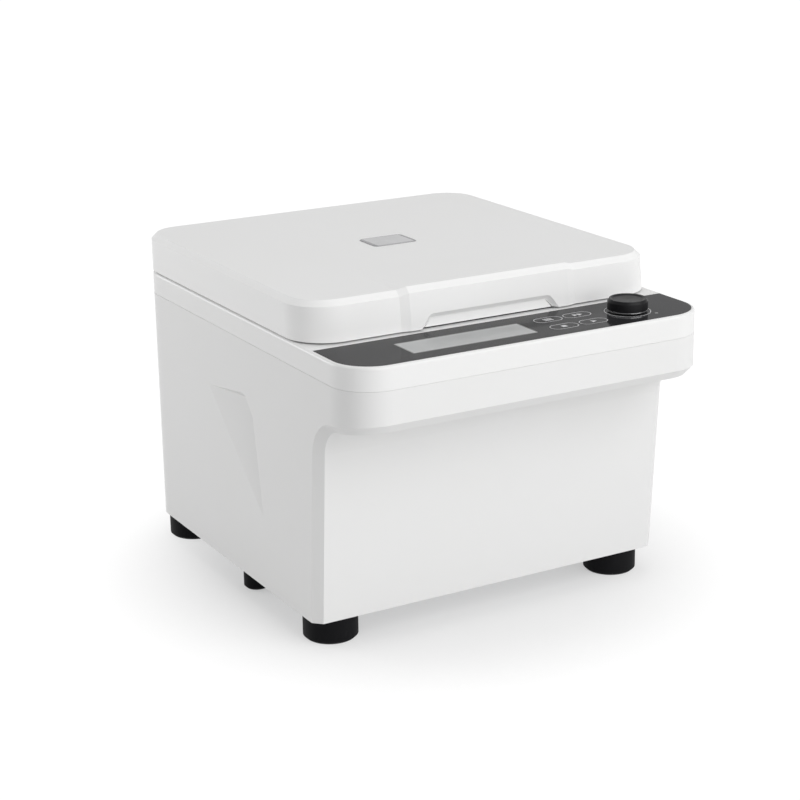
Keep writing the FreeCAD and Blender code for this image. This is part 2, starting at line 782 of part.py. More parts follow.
def make_console():
    panel = body("membrane")
    outline = sketch(panel, "XY", panel_floor)
    panel_outline(outline, as_size(0))
    pad(panel, outline, panel_sheet)
    openings = sketch(panel, "XY", panel_floor)
    console_cuts(openings, slip_gap)
    pocket(panel, openings, panel_sheet)
    node(panel, "membrane_panel")

    pane = body("lcd")
    outline = sketch(pane, "XY", panel_floor)
    rectangle(outline, window_left, window_right, window_front, window_rear, 1)
    pad(pane, outline, panel_sheet)
    node(pane, "lcd_window")

    module = block("display", (window_left - 1, window_right + 1), (window_front - 2, window_rear + 2),
                   (board_top, panel_floor - fit_gap))
    node(module, "display_module")

    board = body("board")
    outline = sketch(board, "XY", board_bottom)
    rectangle(outline, board_left, board_right, board_front, board_rear, 2)
    pad(board, outline, board_sheet)
    switches = sketch(board, "XY", board_top)
    for x, y in key_spots().values():
        rectangle(switches, x - 3, x + 3, y - 3, y + 3)
    pad(board, switches, board_gap - key_drop - key_travel - 0.1)
    chips = sketch(board, "XY", board_bottom)
    for n in range(4):
        left = board_left + 20 + chip_pitch * n
        rectangle(chips, left, left + 14, board_front + 14, board_front + 24)
    pad(board, chips, board_sheet, down=True)
    node(board, "control_board")

    for label, (x, y) in key_spots().items():
        cap = body(label + "_cap")
        face = sketch(cap, "XY", panel_floor)
        pill(face, 0, 0, key_width - slip_gap * 2, key_tall - slip_gap * 2)
        pad(cap, face, panel_sheet + key_proud)
        lip = sketch(cap, "XY", panel_floor - fit_gap)
        pill(lip, 0, 0, key_width + key_lip, key_tall + key_lip)
        pad(cap, lip, key_lip, down=True)
        neck = sketch(cap, "XY", panel_floor - fit_gap * 2)
        pill(neck, 0, 0, key_width - 2, key_tall - 2)
        pad(cap, neck, fit_gap * 2 + 0.1)
        stem = sketch(cap, "XY", board_top + board_gap - key_drop)
        circle(stem, 0, 0, 2)
        pad(cap, stem, key_drop + deck_wall - panel_sheet - fit_gap)
        node(place(cap, x, y), label)

    light = rod("light", led_radius, panel_floor + panel_sheet - board_top, led_x, led_y, board_top)
    node(light, "status_led")


key_travel = size("key_travel", 0.4)
key_drop = size("key_drop", 1)
key_proud = size("key_proud", 0.1)
chip_pitch = size("chip_pitch", 34)


def make_knob():
    knob_base = frame_top + knob_float
    knob_top = frame_top + knob_height
    housing = block("encoder_box", (knob_x - 6, knob_x + 6), (knob_y - 6, knob_y + 6),
                    (board_top, deck_under - fit_gap))
    bush = rod("encoder_bush", spindle_radius + knob_bush, deck_wall, knob_x, knob_y,
               deck_under - fit_gap)
    bore = rod("encoder_bore", spindle_radius + shaft_gap, board_gap + deck_wall, knob_x, knob_y,
               board_top + 1.5)
    node(cut("encoder_body", join("encoder_blank", [housing, bush]), [bore]), "encoder")
    spindle_low = board_top + 2
    spindle_high = knob_top - 3
    node(rod("spindle", spindle_radius, spindle_high - spindle_low, knob_x, knob_y, spindle_low),
         "encoder_shaft")
    ring_outside = knob_radius - 0.3
    ring = turned("ring", [
        (spindle_radius, knob_base), (ring_outside, knob_base), (ring_outside, knob_base + knob_ring_height),
        (spindle_radius, knob_base + knob_ring_height)], knob_x, knob_y)
    node(ring, "knob_ring")
    low = knob_base + knob_ring_height
    cap = turned("cap", [
        (spindle_radius, low), (knob_radius, low), (knob_radius, knob_top - 2.2),
        (knob_radius - 1.4, knob_top), (knob_radius - 2.6, knob_top), (knob_radius - 4.4, knob_top - 0.9),
        (0, knob_top - 1.3), (0, spindle_high), (spindle_radius, spindle_high)], knob_x, knob_y)
    node(cap, "control_knob")


# Lock: a bolt under the deck that slides through the striker's window

lock_z = size("lock_z", 222)
lock_half = size("lock_half", 10)
bolt_width = size("bolt_width", 7)
bolt_tall = size("bolt_tall", 5)
bolt_front = size("bolt_front", -140)
bolt_nose = size("bolt_nose", -119.6)
lock_front = size("lock_front", -141)
lock_rear = size("lock_rear", -123)
lock_plate = size("lock_plate", 3)
striker_front = size("striker_front", -115.5)
striker_sheet = size("striker_sheet", 3)
striker_width = size("striker_width", 14)
striker_below = size("striker_below", 6)


def make_lock():
    box = block("lock_box", (-lock_half - 4, lock_half + 4), (lock_front, lock_rear),
                (lock_z - lock_half, lock_z + lock_half))
    upright = block("lock_upright", (-lock_half - 4, lock_half + 4), (lock_rear - lock_plate, lock_rear),
                    (lock_z, deck_under))
    tunnel = block("lock_tunnel", (-bolt_width / 2 - fit_gap, bolt_width / 2 + fit_gap),
                   (lock_front - 5, lock_rear + 5),
                   (lock_z - bolt_tall / 2 - fit_gap, lock_z + bolt_tall / 2 + fit_gap))
    node(cut("lock_case", join("lock_blank", [box, upright]), [tunnel]), "lock_body")
    bolt = body("bolt")
    outline = sketch(bolt, "YZ")
    low, high = lock_z - bolt_tall / 2, lock_z + bolt_tall / 2
    path(outline, [(bolt_front, low), (bolt_nose, low), (bolt_nose, lock_z), (bolt_nose - 2, high),
                   (bolt_front, high)])
    pad(bolt, outline, bolt_width, middle=True)
    node(bolt, "lock_bolt")
    solenoid = rod("solenoid", lock_half - 1, 24, 0, lock_front, lock_z, (1, 0, 0), 90)
    node(solenoid, "lock_solenoid")


def make_hinge_brackets():
    pair = []
    for side in (-1, 1):
        x = side * hinge_x
        half = hinge_ear_width / 2
        strap = block("ear_strap", (x - half, x + half), (hinge_y - hinge_ear, ear_back),
                      (deck_under - hinge_foot, hinge_z))
        eye = rod("ear_eye", hinge_ear, hinge_ear_width, x - half, hinge_y, hinge_z, (0, 1, 0), 90)
        foot = block("ear_foot", (x - 10, x + 10), (hinge_y - 22, ear_back),
                     (deck_under - hinge_foot, deck_under))
        bore = rod("ear_bore", hinge_pin + shaft_gap, hinge_ear_width + 2, x - half - 1, hinge_y, hinge_z,
                   (0, 1, 0), 90)
        pair.append(cut("hinge_bracket", join("ear_blank", [strap, eye, foot]), [bore]))
    node(group("hinge_bracket_pair", pair), "hinge_brackets")


# Chamber: bowl, its gasket and the guard ring

def make_chamber():
    r = bowl_radius
    t = bowl_sheet
    bowl = turned("bowl", [
        (boot_radius, bowl_floor - t), (r + t, bowl_floor - t, bowl_floor_round + t),
        (r + t, flange_floor), (bowl_rim, flange_floor), (bowl_rim, flange_floor + t),
        (r, flange_floor + t, 1.2), (r, bowl_floor, bowl_floor_round), (boot_radius, bowl_floor)],
        0, chamber_y)
    node(bowl, "chamber_bowl")
    seal_low = flange_floor + t
    seal = turned("seal", [
        (r + 3, seal_low), (bowl_rim - 0.5, seal_low), (bowl_rim - 0.5, lid_bottom - fit_gap - 1),
        (r + 5.5, lid_bottom - fit_gap), (r + 3, lid_bottom - fit_gap - 1)], 0, chamber_y)
    node(seal, "bowl_gasket")
    outer = ring_radius
    ring = turned("ring_wall_form", [
        (outer - ring_wall, base_top), (outer, base_top), (outer, ring_top),
        (outer - ring_wall, ring_top)], 0, chamber_y)
    node(ring, "guard_ring")


boot_radius = size("boot_radius", 26)
ring_top = size("ring_top", 226)


# Motor: caps and stator stand on a plate that three rubber dampers carry

plate_radius = size("plate_radius", 84)
plate_sheet = size("plate_sheet", 3)
motor_radius = size("motor_radius", 48)
motor_length = size("motor_length", 34)
cap_length = size("cap_length", 9)
neck_radius = size("neck_radius", 18)
neck_length = size("neck_length", 10)
shaft_radius = size("shaft_radius", 6)
bearing_radius = size("bearing_radius", 14)
bearing_height = size("bearing_height", 7)
armature_radius = size("armature_radius", 30)
armature_gap = size("armature_gap", 0.5)
plate_low = base_top + damper_height
plate_top = plate_low + plate_sheet
lower_cap_top = plate_top + cap_length
stator_top = lower_cap_top + motor_length
upper_cap_top = stator_top + cap_length
neck_top = upper_cap_top + neck_length


def make_motor():
    plate = body("plate")
    outline = sketch(plate, "XY", plate_low)
    circle(outline, 0, 0, plate_radius)
    for x, y in damper_spots():
        circle(outline, x, y, damper_radius * 0.4)
    circle(outline, 0, 0, shaft_radius + 2)
    pad(plate, outline, plate_sheet)
    node(place(plate, 0, chamber_y), "motor_mount_plate")
    dampers = []
    for x, y in damper_spots():
        dampers.append(turned("damper", [
            (0, base_top), (damper_radius, base_top), (damper_radius * 0.8, base_top + damper_height / 2),
            (damper_radius, plate_low), (damper_radius * 0.4, plate_low), (damper_radius * 0.4, plate_top),
            (0, plate_top)], x, chamber_y + y))
    node(group("damper_set", dampers), "motor_dampers")

    lower = turned("lower_cap", [
        (shaft_radius + 1, plate_top), (motor_radius + 3, plate_top), (motor_radius + 3, plate_top + 4),
        (motor_radius, lower_cap_top), (bearing_radius, lower_cap_top),
        (bearing_radius, lower_cap_top - bearing_height), (shaft_radius + 1, lower_cap_top - bearing_height)],
        0, chamber_y)
    upper = turned("upper_cap", [
        (bearing_radius, stator_top), (motor_radius, stator_top), (motor_radius, stator_top + 4, 3),
        (neck_radius, upper_cap_top), (neck_radius, neck_top), (shaft_radius + 1, neck_top),
        (shaft_radius + 1, stator_top + bearing_height), (bearing_radius, stator_top + bearing_height)],
        0, chamber_y)
    node(group("cap_pair", [lower, upper]), "motor_end_caps")
    stator = turned("stator", [
        (armature_radius + armature_gap, lower_cap_top), (motor_radius, lower_cap_top),
        (motor_radius, stator_top), (armature_radius + armature_gap, stator_top)], 0, chamber_y)
    node(stator, "motor_housing")
    bearings = [turned("bearing", [
        (shaft_radius + shaft_gap, low), (bearing_radius, low), (bearing_radius, low + bearing_height),
        (shaft_radius + shaft_gap, low + bearing_height)], 0, chamber_y)
        for low in (lower_cap_top - bearing_height, stator_top)]
    node(group("bearing_pair", bearings), "motor_bearings")
    boot_low = upper_cap_top + 1
    boot = turned("boot", [
        (neck_radius, boot_low), (neck_radius + 2, boot_low), (neck_radius + 2, bowl_floor - 4),
        (boot_radius - fit_gap, bowl_floor - bowl_sheet - 1), (boot_radius + 5, bowl_floor - bowl_sheet - 1),
        (boot_radius + 5, bowl_floor - bowl_sheet), (boot_radius - fit_gap, bowl_floor - bowl_sheet),
        (boot_radius - fit_gap, bowl_floor + 1), (neck_radius, bowl_floor - 1)], 0, chamber_y)
    node(boot, "shaft_boot")


def damper_spots():
    return [(damper_circle * math.cos(turn), damper_circle * math.sin(turn))
            for turn in (math.radians(90 + 120 * n) for n in range(damper_count))]


# Rotor: a dished plate that carries six tube sleeves, their mouths leaning in towards the shaft

sleeve_count = 6
tilt = size("tilt", 35)
tube_radius = size("tube_radius", 15.3)
sleeve_wall = size("sleeve_wall", 1.5)
sleeve_depth = size("sleeve_depth", 92)
sleeve_floor = size("sleeve_floor", 2)
sleeve_lip = size("sleeve_lip", 3)
mouth_circle = size("mouth_circle", 54)
mouth_z = size("mouth_z", 214)
sleeve_outer = tube_radius + sleeve_wall
rotor_wall = size("rotor_wall", 3)
rotor_plate = size("rotor_plate", 11)


def sleeve_turns():
    return [360 / sleeve_count * n + 30 for n in range(sleeve_count)]


def on_sleeve_axis(thing, turn, along):
    """Places a piece made along +Z on the sleeve axis at that turn, moved along the axis."""
    c, s = math.cos(math.radians(turn)), math.sin(math.radians(turn))
    out = mouth_circle - along * sine(tilt)
    return place(thing, out * c, chamber_y + out * s, mouth_z + along * cosine(tilt), (s, -c, 0), tilt)


def make_rotor():
    rise = sine(tilt) / cosine(tilt)
    rim = mouth_circle + (sleeve_outer + rotor_wall + 4) * cosine(tilt)
    rim_z = mouth_z + (rim - mouth_circle) * rise
    dish = size("rotor_dish", 24)
    dish_z = mouth_z - (mouth_circle - dish) * rise
    form = turned("rotor_form", [
        (shaft_radius, dish_z - 34), (hub_radius, dish_z - 34), (hub_radius, dish_z - rotor_plate),
        (dish, dish_z - rotor_plate), (rim + 3, rim_z - rotor_plate), (rim + 3, rim_z - 2), (rim, rim_z),
        (dish, dish_z), (shaft_radius, dish_z)], 0, chamber_y)
    bores = [on_sleeve_axis(rod("sleeve_bore", sleeve_outer, sleeve_depth + 12, 0, 0, 0), turn,
                  -(sleeve_depth + sleeve_floor)) for turn in sleeve_turns()]
    seat = sleeve_outer + sleeve_lip + fit_gap
    seats = [on_sleeve_axis(rod("sleeve_seat", seat, 14, 0, 0, 0), turn, as_size(0))
             for turn in sleeve_turns()]
    node(cut("rotor_bored", form, [join("rotor_cuts", bores + seats)]), "rotor_body")
    for n, turn in enumerate(sleeve_turns()):
        made = turned("sleeve_form", [
            (0, -sleeve_floor - sleeve_depth), (sleeve_outer, -sleeve_floor - sleeve_depth, 5),
            (sleeve_outer, 0), (sleeve_outer + sleeve_lip, 0), (sleeve_outer + sleeve_lip, 1.5),
            (tube_radius, 1.5), (tube_radius, -sleeve_depth, 4), (0, -sleeve_depth)])
        node(on_sleeve_axis(made, turn, as_size(0)), "tube_sleeve_%d" % (n + 1))
    shaft_low = plate_top + 1
    collar_low = dish_z - 34 - 3
    shaft = turned("shaft_form", [
        (0, shaft_low), (shaft_radius, shaft_low), (shaft_radius, collar_low),
        (hub_radius - 4, collar_low), (hub_radius - 4, collar_low + 3), (shaft_radius, collar_low + 3),
        (shaft_radius, dish_z + 14, 1), (0, dish_z + 14)], 0, chamber_y)
    node(shaft, "drive_shaft")
    armature = turned("armature", [
        (shaft_radius, lower_cap_top + 2), (armature_radius, lower_cap_top + 2),
        (armature_radius, stator_top - 2), (shaft_radius, stator_top - 2)], 0, chamber_y)
    node(armature, "motor_armature")
    nut = turned("nut", [
        (shaft_radius, dish_z), (15, dish_z), (15, dish_z + 6), (11, dish_z + 9), (11, dish_z + 19, 2),
        (0, dish_z + 19), (0, dish_z + 14), (shaft_radius, dish_z + 14)], 0, chamber_y)
    node(nut, "rotor_nut")


hub_radius = size("hub_radius", 18)


# Lid: a leaning front with a raised middle band, a bevelled top edge and a notch to grip it by

lid_front = size("lid_front", -125)
lid_lean = size("lid_lean", 4)
lid_bevel = size("lid_bevel", 4.5)
lid_wall = size("lid_wall", 3.5)
lid_roof = size("lid_roof", 5)
band_half = size("band_half", 73.6)
band_slope = size("band_slope", 8)
band_proud = size("band_proud", 2)
band_sink = size("band_sink", 0.05)
band_fade = size("band_fade", -30)
liner_sheet = size("liner_sheet", 2.5)
hinge_block = size("hinge_block", 13)
sight_x = size("sight_x", -2)
sight_y = size("sight_y", 37.5)
sight_width = size("sight_width", 42)
sight_depth = size("sight_depth", 32)
sight_proud = size("sight_proud", 0.6)
sight_bevel = size("sight_bevel", 0.4)
sight_pane = size("sight_pane", 2)
sight_ledge = size("sight_ledge", 3)
notch_low_half = size("notch_low_half", 65)
notch_top_half = size("notch_top_half", 57)
notch_rise = size("notch_rise", 13.5)
notch_bevel = size("notch_bevel", 5.8)
notch_side = size("notch_side", 3)
notch_depth = size("notch_depth", 4)
grip_inset = size("grip_inset", 0.4)
grip_taper = size("grip_taper", 2)
lid_nose = lid_front - band_proud
cavity_front = lid_front + lid_lean + lid_wall
cavity_rear = rear - hinge_block
cavity_side = half_width - lid_wall
cavity_round = size("cavity_round", 28)
lid_boss = size("lid_boss", 5)
lid_boss_x = size("lid_boss_x", 140)
seal_inset = size("seal_inset", 4)
seal_wide = size("seal_wide", 4)
seal_tall = size("seal_tall", 1.1)
seal_end = size("seal_end", 150)


def boss_spots():
    return [(side * lid_boss_x, y) for side in (-1, 1)
            for y in (cavity_front + 30, (cavity_front + cavity_rear) / 2, cavity_rear - 30)]


def notch_outline(drawing, low_half, top_half, low, top, radius):
    path(drawing, [(-low_half, low), (low_half, low), (top_half, top, radius), (-top_half, top, radius)])


def make_lid_shell():
    made = body("lid_form")
    brow = lid_front + lid_lean
    shoulder = lid_top - lid_bevel
    shoulder_front = brow - lid_lean * lid_bevel / lid_height
    low = sketch(made, "XY", lid_bottom)
    deck_outline(low, as_size(0), lid_front, rear, front_corner, rear_corner)
    middle = sketch(made, "XY", shoulder)
    deck_outline(middle, as_size(0), shoulder_front, rear, front_corner, rear_corner)
    high = sketch(made, "XY", lid_top)
    deck_outline(high, lid_bevel, brow + lid_bevel, rear - lid_bevel, front_corner - lid_bevel,
                 rear_corner - lid_bevel)
    loft(made, [low, middle, high])

    sections = []
    for x, rise in ((-band_half - band_slope, -band_sink), (-band_half, band_proud),
                    (band_half, band_proud), (band_half + band_slope, -band_sink)):
        section = sketch(made, "YZ", x)
        path(section, [
            (lid_front - rise, lid_bottom), (shoulder_front - rise, shoulder + rise),
            (brow + lid_bevel - rise, lid_top + rise), (band_fade, lid_top - band_sink),
            (band_fade, lid_bottom)])
        sections.append(section)
    loft(made, sections)

    cavity = sketch(made, "XY", lid_bottom)
    path(cavity, [
        (-cavity_side, cavity_front, cavity_round), (cavity_side, cavity_front, cavity_round),
        (cavity_side, cavity_rear, cavity_round), (-cavity_side, cavity_rear, cavity_round)])
    pocket(made, cavity, lid_height - lid_roof)
    between = sketch(made, "XY", lid_bottom + liner_sheet)
    reach = hinge_x - hinge_pin_length / 2 - 4
    rectangle(between, -reach, reach, cavity_rear - 1, rear - lid_wall)
    pocket(made, between, lid_height - lid_roof - liner_sheet)
    bosses = sketch(made, "XY", lid_bottom + liner_sheet)
    for x, y in boss_spots():
        circle(bosses, x, y, lid_boss)
    pad(made, bosses, lid_height - lid_roof - liner_sheet + 0.5)
    boss_holes = sketch(made, "XY", lid_bottom)
    for x, y in boss_spots():
        circle(boss_holes, x, y, screw_radius)
    pocket(made, boss_holes, liner_sheet + 7)

    tail = sketch(made, "YZ")
    path(tail, [
        (hinge_y - 8, lid_bottom), (rear, lid_bottom, hinge_round), (rear, hinge_z + 3),
        (rear + 5, hinge_z + 3), (rear + 5, lid_bottom - 5), (hinge_y - 8, lid_bottom - 5)])
    pocket(made, tail, case_width + 10, middle=True)

    notch_face = sketch(made, "XZ", -(lid_nose - 0.5))
    notch_outline(notch_face, notch_low_half, notch_top_half, lid_bottom - 1, lid_bottom + notch_rise, 7)
    notch_floor = sketch(made, "XZ", -(lid_nose + notch_depth))
    notch_outline(notch_floor, notch_low_half - notch_side, notch_top_half - notch_side, lid_bottom - 1,
                  lid_bottom + notch_rise - notch_bevel, 4)
    loft(made, [notch_face, notch_floor], "SubtractiveLoft")
    grip = sketch(made, "XZ", -(lid_nose + notch_depth - 1))
    inset = notch_side + grip_inset
    notch_outline(grip, notch_low_half - inset, notch_top_half - inset, lid_bottom - 1,
                  lid_bottom + notch_rise - notch_bevel - grip_inset, 3)
    pocket(made, grip, 12, down=True)

    hinge_slots = sketch(made, "YZ", hinge_x)
    reach = hinge_ear + hinge_clear
    rectangle(hinge_slots, hinge_y - reach, rear + 5, lid_bottom - 5, hinge_z + reach)
    pocket(made, hinge_slots, hinge_ear_width + hinge_clear * 2, middle=True)
    other_slots = sketch(made, "YZ", -hinge_x)
    rectangle(other_slots, hinge_y - reach, rear + 5, lid_bottom - 5, hinge_z + reach)
    pocket(made, other_slots, hinge_ear_width + hinge_clear * 2, middle=True)
    for x in (-hinge_x, hinge_x):
        bore = sketch(made, "YZ", x)
        circle(bore, hinge_y, hinge_z, hinge_pin)
        pocket(made, bore, hinge_pin_length, middle=True)

    window = sketch(made, "XY", lid_top + sight_proud - sight_pane)
    rectangle(window, sight_x - sight_width / 2, sight_x + sight_width / 2, sight_y - sight_depth / 2,
              sight_y + sight_depth / 2, 5)
    pocket(made, window, sight_pane)
    light = sketch(made, "XY", lid_top - lid_roof - 1)
    ledge = sight_ledge
    rectangle(light, sight_x - sight_width / 2 + ledge, sight_x + sight_width / 2 - ledge,
              sight_y - sight_depth / 2 + ledge, sight_y + sight_depth / 2 - ledge, 3)
    pocket(made, light, lid_roof)
    node(made, "lid_shell")


def make_lid_parts():
    pins = [rod("hinge_pin_rod", hinge_pin, hinge_pin_length, x - hinge_pin_length / 2, hinge_y, hinge_z,
            (0, 1, 0), 90) for x in (-hinge_x, hinge_x)]
    node(group("hinge_pin_pair", pins), "hinge_pins")

    liner = body("liner")
    outline = sketch(liner, "XY", lid_bottom)
    gap = fit_gap
    rounding = cavity_round - gap
    path(outline, [
        (-cavity_side + gap, cavity_front + gap, rounding), (cavity_side - gap, cavity_front + gap, rounding),
        (cavity_side - gap, cavity_rear - gap, rounding), (-cavity_side + gap, cavity_rear - gap, rounding)])
    pad(liner, outline, liner_sheet)
    cuts = sketch(liner, "XY", lid_bottom)
    ledge = sight_ledge
    rectangle(cuts, sight_x - sight_width / 2 + ledge, sight_x + sight_width / 2 - ledge,
              sight_y - sight_depth / 2 + ledge, sight_y + sight_depth / 2 - ledge, 3)
    rectangle(cuts, -striker_width / 2 - slip_gap, striker_width / 2 + slip_gap, striker_front - slip_gap,
              striker_front + striker_sheet + slip_gap)
    for x, y in boss_spots():
        circle(cuts, x, y, screw_radius)
    pocket(liner, cuts, liner_sheet)
    heads = sketch(liner, "XY", lid_bottom)
    for x, y in boss_spots():
        circle(heads, x, y, screw_head + slip_gap)
    pocket(liner, heads, screw_head_height)
    node(liner, "lid_liner")

    pane = body("pane")
    outline = sketch(pane, "XY", lid_top + sight_proud - sight_pane)
    gap = slip_gap
    rectangle(outline, sight_x - sight_width / 2 + gap, sight_x + sight_width / 2 - gap,
              sight_y - sight_depth / 2 + gap, sight_y + sight_depth / 2 - gap, 5 - gap)
    pad(pane, outline, sight_pane)
    face = (lid_top + sight_proud).number
    dress(pane, "Chamfer", lambda edge: edge.BoundBox.ZMin > face - 0.01, sight_bevel)
    node(pane, "sight_window")
    inner = block("inner_pane", (sight_x - sight_width / 2, sight_x + sight_width / 2),
                  (sight_y - sight_depth / 2, sight_y + sight_depth / 2),
                  (lid_bottom + liner_sheet, lid_bottom + liner_sheet + sight_pane))
    node(inner, "inner_window")

    grip = body("grip")
    inset = notch_side + grip_inset + slip_gap
    face = sketch(grip, "XZ", -(lid_nose + notch_depth + 0.3))
    notch_outline(face, notch_low_half - inset - grip_taper, notch_top_half - inset, lid_bottom + 0.1,
                  lid_bottom + notch_rise - notch_bevel - grip_inset - slip_gap, 3)
    pad(grip, face, cavity_front - lid_nose - notch_depth - 0.3, down=True)
    tongue = sketch(grip, "XY", lid_bottom + liner_sheet)
    for left in (inset + 4 - notch_top_half, striker_width + 4):
        rectangle(tongue, left, left + notch_top_half - inset - striker_width - 8, cavity_front - 1,
                  cavity_front + 9)
    pad(grip, tongue, 1.5)
    node(grip, "grip_insert")

    striker = body("striker")
    outline = sketch(striker, "XZ", -striker_front)
    rectangle(outline, -striker_width / 2, striker_width / 2, lock_z - striker_below,
              lid_bottom + liner_sheet + 1)
    pad(striker, outline, striker_sheet, down=True)
    flange = sketch(striker, "XY", lid_bottom + liner_sheet)
    rectangle(flange, -striker_width, striker_width, striker_front, striker_front + 18)
    pad(striker, flange, 1.5)
    eye = sketch(striker, "XZ", -(striker_front - 1))
    rectangle(eye, -bolt_width / 2 - 0.6, bolt_width / 2 + 0.6, lock_z - bolt_tall / 2 - 0.6,
              lock_z + bolt_tall / 2 + 0.6)
    pocket(striker, eye, striker_sheet + 2, down=True)
    node(striker, "lid_striker")

    seal = body("lid_strip")
    outline = sketch(seal, "XY", lid_bottom - seal_tall)
    side, near = half_width - seal_inset, lid_front + seal_inset
    inner_side, inner_near = side - seal_wide, near + seal_wide
    rounding = front_corner - seal_inset
    path(outline, [
        (-side, seal_end), (-side, near, rounding), (side, near, rounding), (side, seal_end),
        (inner_side, seal_end), (inner_side, inner_near, rounding - seal_wide),
        (-inner_side, inner_near, rounding - seal_wide), (-inner_side, seal_end)])
    pad(seal, outline, seal_tall)
    node(seal, "lid_seal")

    screws = []
    for x, y in boss_spots():
        head = rod("lid_screw_head", screw_head, screw_head_height, x, y, lid_bottom)
        shank = rod("lid_screw_shank", screw_radius, liner_sheet + 6, x, y, lid_bottom + 0.5)
        screws.append(join("lid_screw", [head, shank]))
    node(group("lid_screw_set", screws), "lid_screws")


def make_case_screws():
    screws = []
    for x, y in pad_spots():
        head = rod("base_screw_head", screw_head, screw_head_height, x, y, case_bottom - screw_head_height)
        shank = rod("base_screw_shank", screw_radius, base_sheet + 4, x, y, case_bottom - 0.5)
        screws.append(join("base_screw", [head, shank]))
    for x, z in rear_screw_spots():
        head = rod("rear_screw_head", screw_head, rear_set, x, rear, z, (1, 0, 0), 90)
        shank = rod("rear_screw_shank", screw_radius, rear_panel_sheet + 0.5, x, panel_back + 0.5, z,
                    (1, 0, 0), 90)
        screws.append(join("rear_screw", [head, shank]))
    node(group("case_screw_set", screws), "case_screws")


power_board_y = size("power_board_y", -110)
power_board_width = size("power_board_width", 56)
power_board_low = size("power_board_low", 60)
power_board_tall = size("power_board_tall", 80)
standoff = size("standoff", 6)


def make_power_board():
    board_x = -(half_width - wall - standoff)
    span_y = (power_board_y, power_board_y + power_board_width)
    span_z = (power_board_low, power_board_low + power_board_tall)
    pieces = [block("power_sheet", (board_x, board_x + board_sheet), span_y, span_z)]
    for y in (span_y[0] + 5, span_y[1] - 5):
        for z in (span_z[0] + 5, span_z[1] - 5):
            pieces.append(rod("power_standoff", post_radius, standoff, board_x - standoff, y, z,
                              (0, 1, 0), 90))
    pieces.append(block("transformer", (board_x + board_sheet, board_x + board_sheet + 18),
                        (span_y[0] + 8, span_y[0] + 30), (span_z[0] + 6, span_z[0] + 34)))
    for n in range(3):
        pieces.append(rod("capacitor", 5, 16, board_x + board_sheet, span_y[0] + 12 + capacitor_pitch * n,
                          span_z[1] - 20, (0, 1, 0), 90))
    node(join("power_parts", pieces), "power_board")


capacitor_pitch = size("capacitor_pitch", 14)

make_lower_housing()
make_base_plate()
make_feet()
make_rear_panel()
make_inlet()
make_switch()
make_upper_frame()
make_console()
make_knob()
make_lock()
make_hinge_brackets()
make_chamber()
make_motor()
make_rotor()
make_lid_shell()
make_lid_parts()
make_case_screws()
make_power_board()


# Check and export

def check_and_write():
    doc.recompute()
    for thing in doc.Objects:
        if "Invalid" in thing.State or "Error" in thing.State:
            raise RuntimeError("%s did not compute" % thing.Label)
    for thing in nodes:
        shape = thing.Shape
        if shape.isNull() or not shape.isValid() or not shape.Solids:
            raise RuntimeError("%s has no sound solid" % thing.Label)
    os.makedirs("parts", exist_ok=True)
    for thing in nodes:
        thing.Shape.exportStep("parts/%s.step" % thing.Label)
        print("%-20s %2d solids %10.0f mm3" % (thing.Label, len(thing.Shape.Solids), thing.Shape.Volume))


check_and_write()
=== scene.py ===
import bpy
import math
from mathutils import Matrix, Vector


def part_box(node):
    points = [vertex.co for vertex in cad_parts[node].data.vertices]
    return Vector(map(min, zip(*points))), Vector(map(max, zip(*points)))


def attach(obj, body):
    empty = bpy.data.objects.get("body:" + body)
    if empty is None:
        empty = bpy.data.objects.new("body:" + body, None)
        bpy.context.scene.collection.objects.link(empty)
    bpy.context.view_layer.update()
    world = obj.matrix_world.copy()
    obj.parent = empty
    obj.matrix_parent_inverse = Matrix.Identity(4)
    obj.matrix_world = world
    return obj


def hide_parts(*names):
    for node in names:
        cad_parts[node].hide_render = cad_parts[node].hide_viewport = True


# Low-speed bench centrifuge: a white moulded case on rubber feet, a hinged lid and a dark console.
# Metres, Z up, the console faces -Y.

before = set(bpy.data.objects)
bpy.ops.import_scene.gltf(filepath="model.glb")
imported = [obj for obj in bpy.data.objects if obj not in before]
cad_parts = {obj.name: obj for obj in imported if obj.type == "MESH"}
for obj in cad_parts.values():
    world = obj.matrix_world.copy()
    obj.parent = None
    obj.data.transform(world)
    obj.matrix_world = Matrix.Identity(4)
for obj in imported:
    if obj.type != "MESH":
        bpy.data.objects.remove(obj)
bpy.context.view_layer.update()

# Base plate and inner sheet metal
# Zinc-plated steel, passivated, with the faint spangle of the plating. The base plate closes the
# housing from below, and the motor's plate and the guard ring are cut from the same sheet.


class Term:
    """A value in a node tree. Sums and products of terms make Math nodes in the term's own tree."""

    def __init__(self, tree, socket=None):
        self.tree = tree
        self.socket = socket

    def node(self, kind, sockets, output=0, **settings):
        made = self.tree.nodes.new(kind)
        for name, value in settings.items():
            setattr(made, name, value)
        for name, value in sockets.items():
            if isinstance(value, Term):
                self.tree.links.new(value.socket, made.inputs[name])
            else:
                made.inputs[name].default_value = value
        return Term(self.tree, made.outputs[output] if made.outputs else None)

    def maths(self, operation, *values):
        return self.node("ShaderNodeMath", dict(enumerate(values)), operation=operation)

    def __add__(self, other):
        return self.maths("ADD", self, other)

    def __radd__(self, other):
        return self.maths("ADD", other, self)

    def __sub__(self, other):
        return self.maths("SUBTRACT", self, other)

    def __rsub__(self, other):
        return self.maths("SUBTRACT", other, self)

    def __mul__(self, other):
        return self.maths("MULTIPLY", self, other)

    def __rmul__(self, other):
        return self.maths("MULTIPLY", other, self)

    def __truediv__(self, other):
        return self.maths("DIVIDE", self, other)

    def __rtruediv__(self, other):
        return self.maths("DIVIDE", other, self)

    def __gt__(self, other):
        return self.maths("GREATER_THAN", self, other)

    def __abs__(self):
        return self.maths("ABSOLUTE", self)


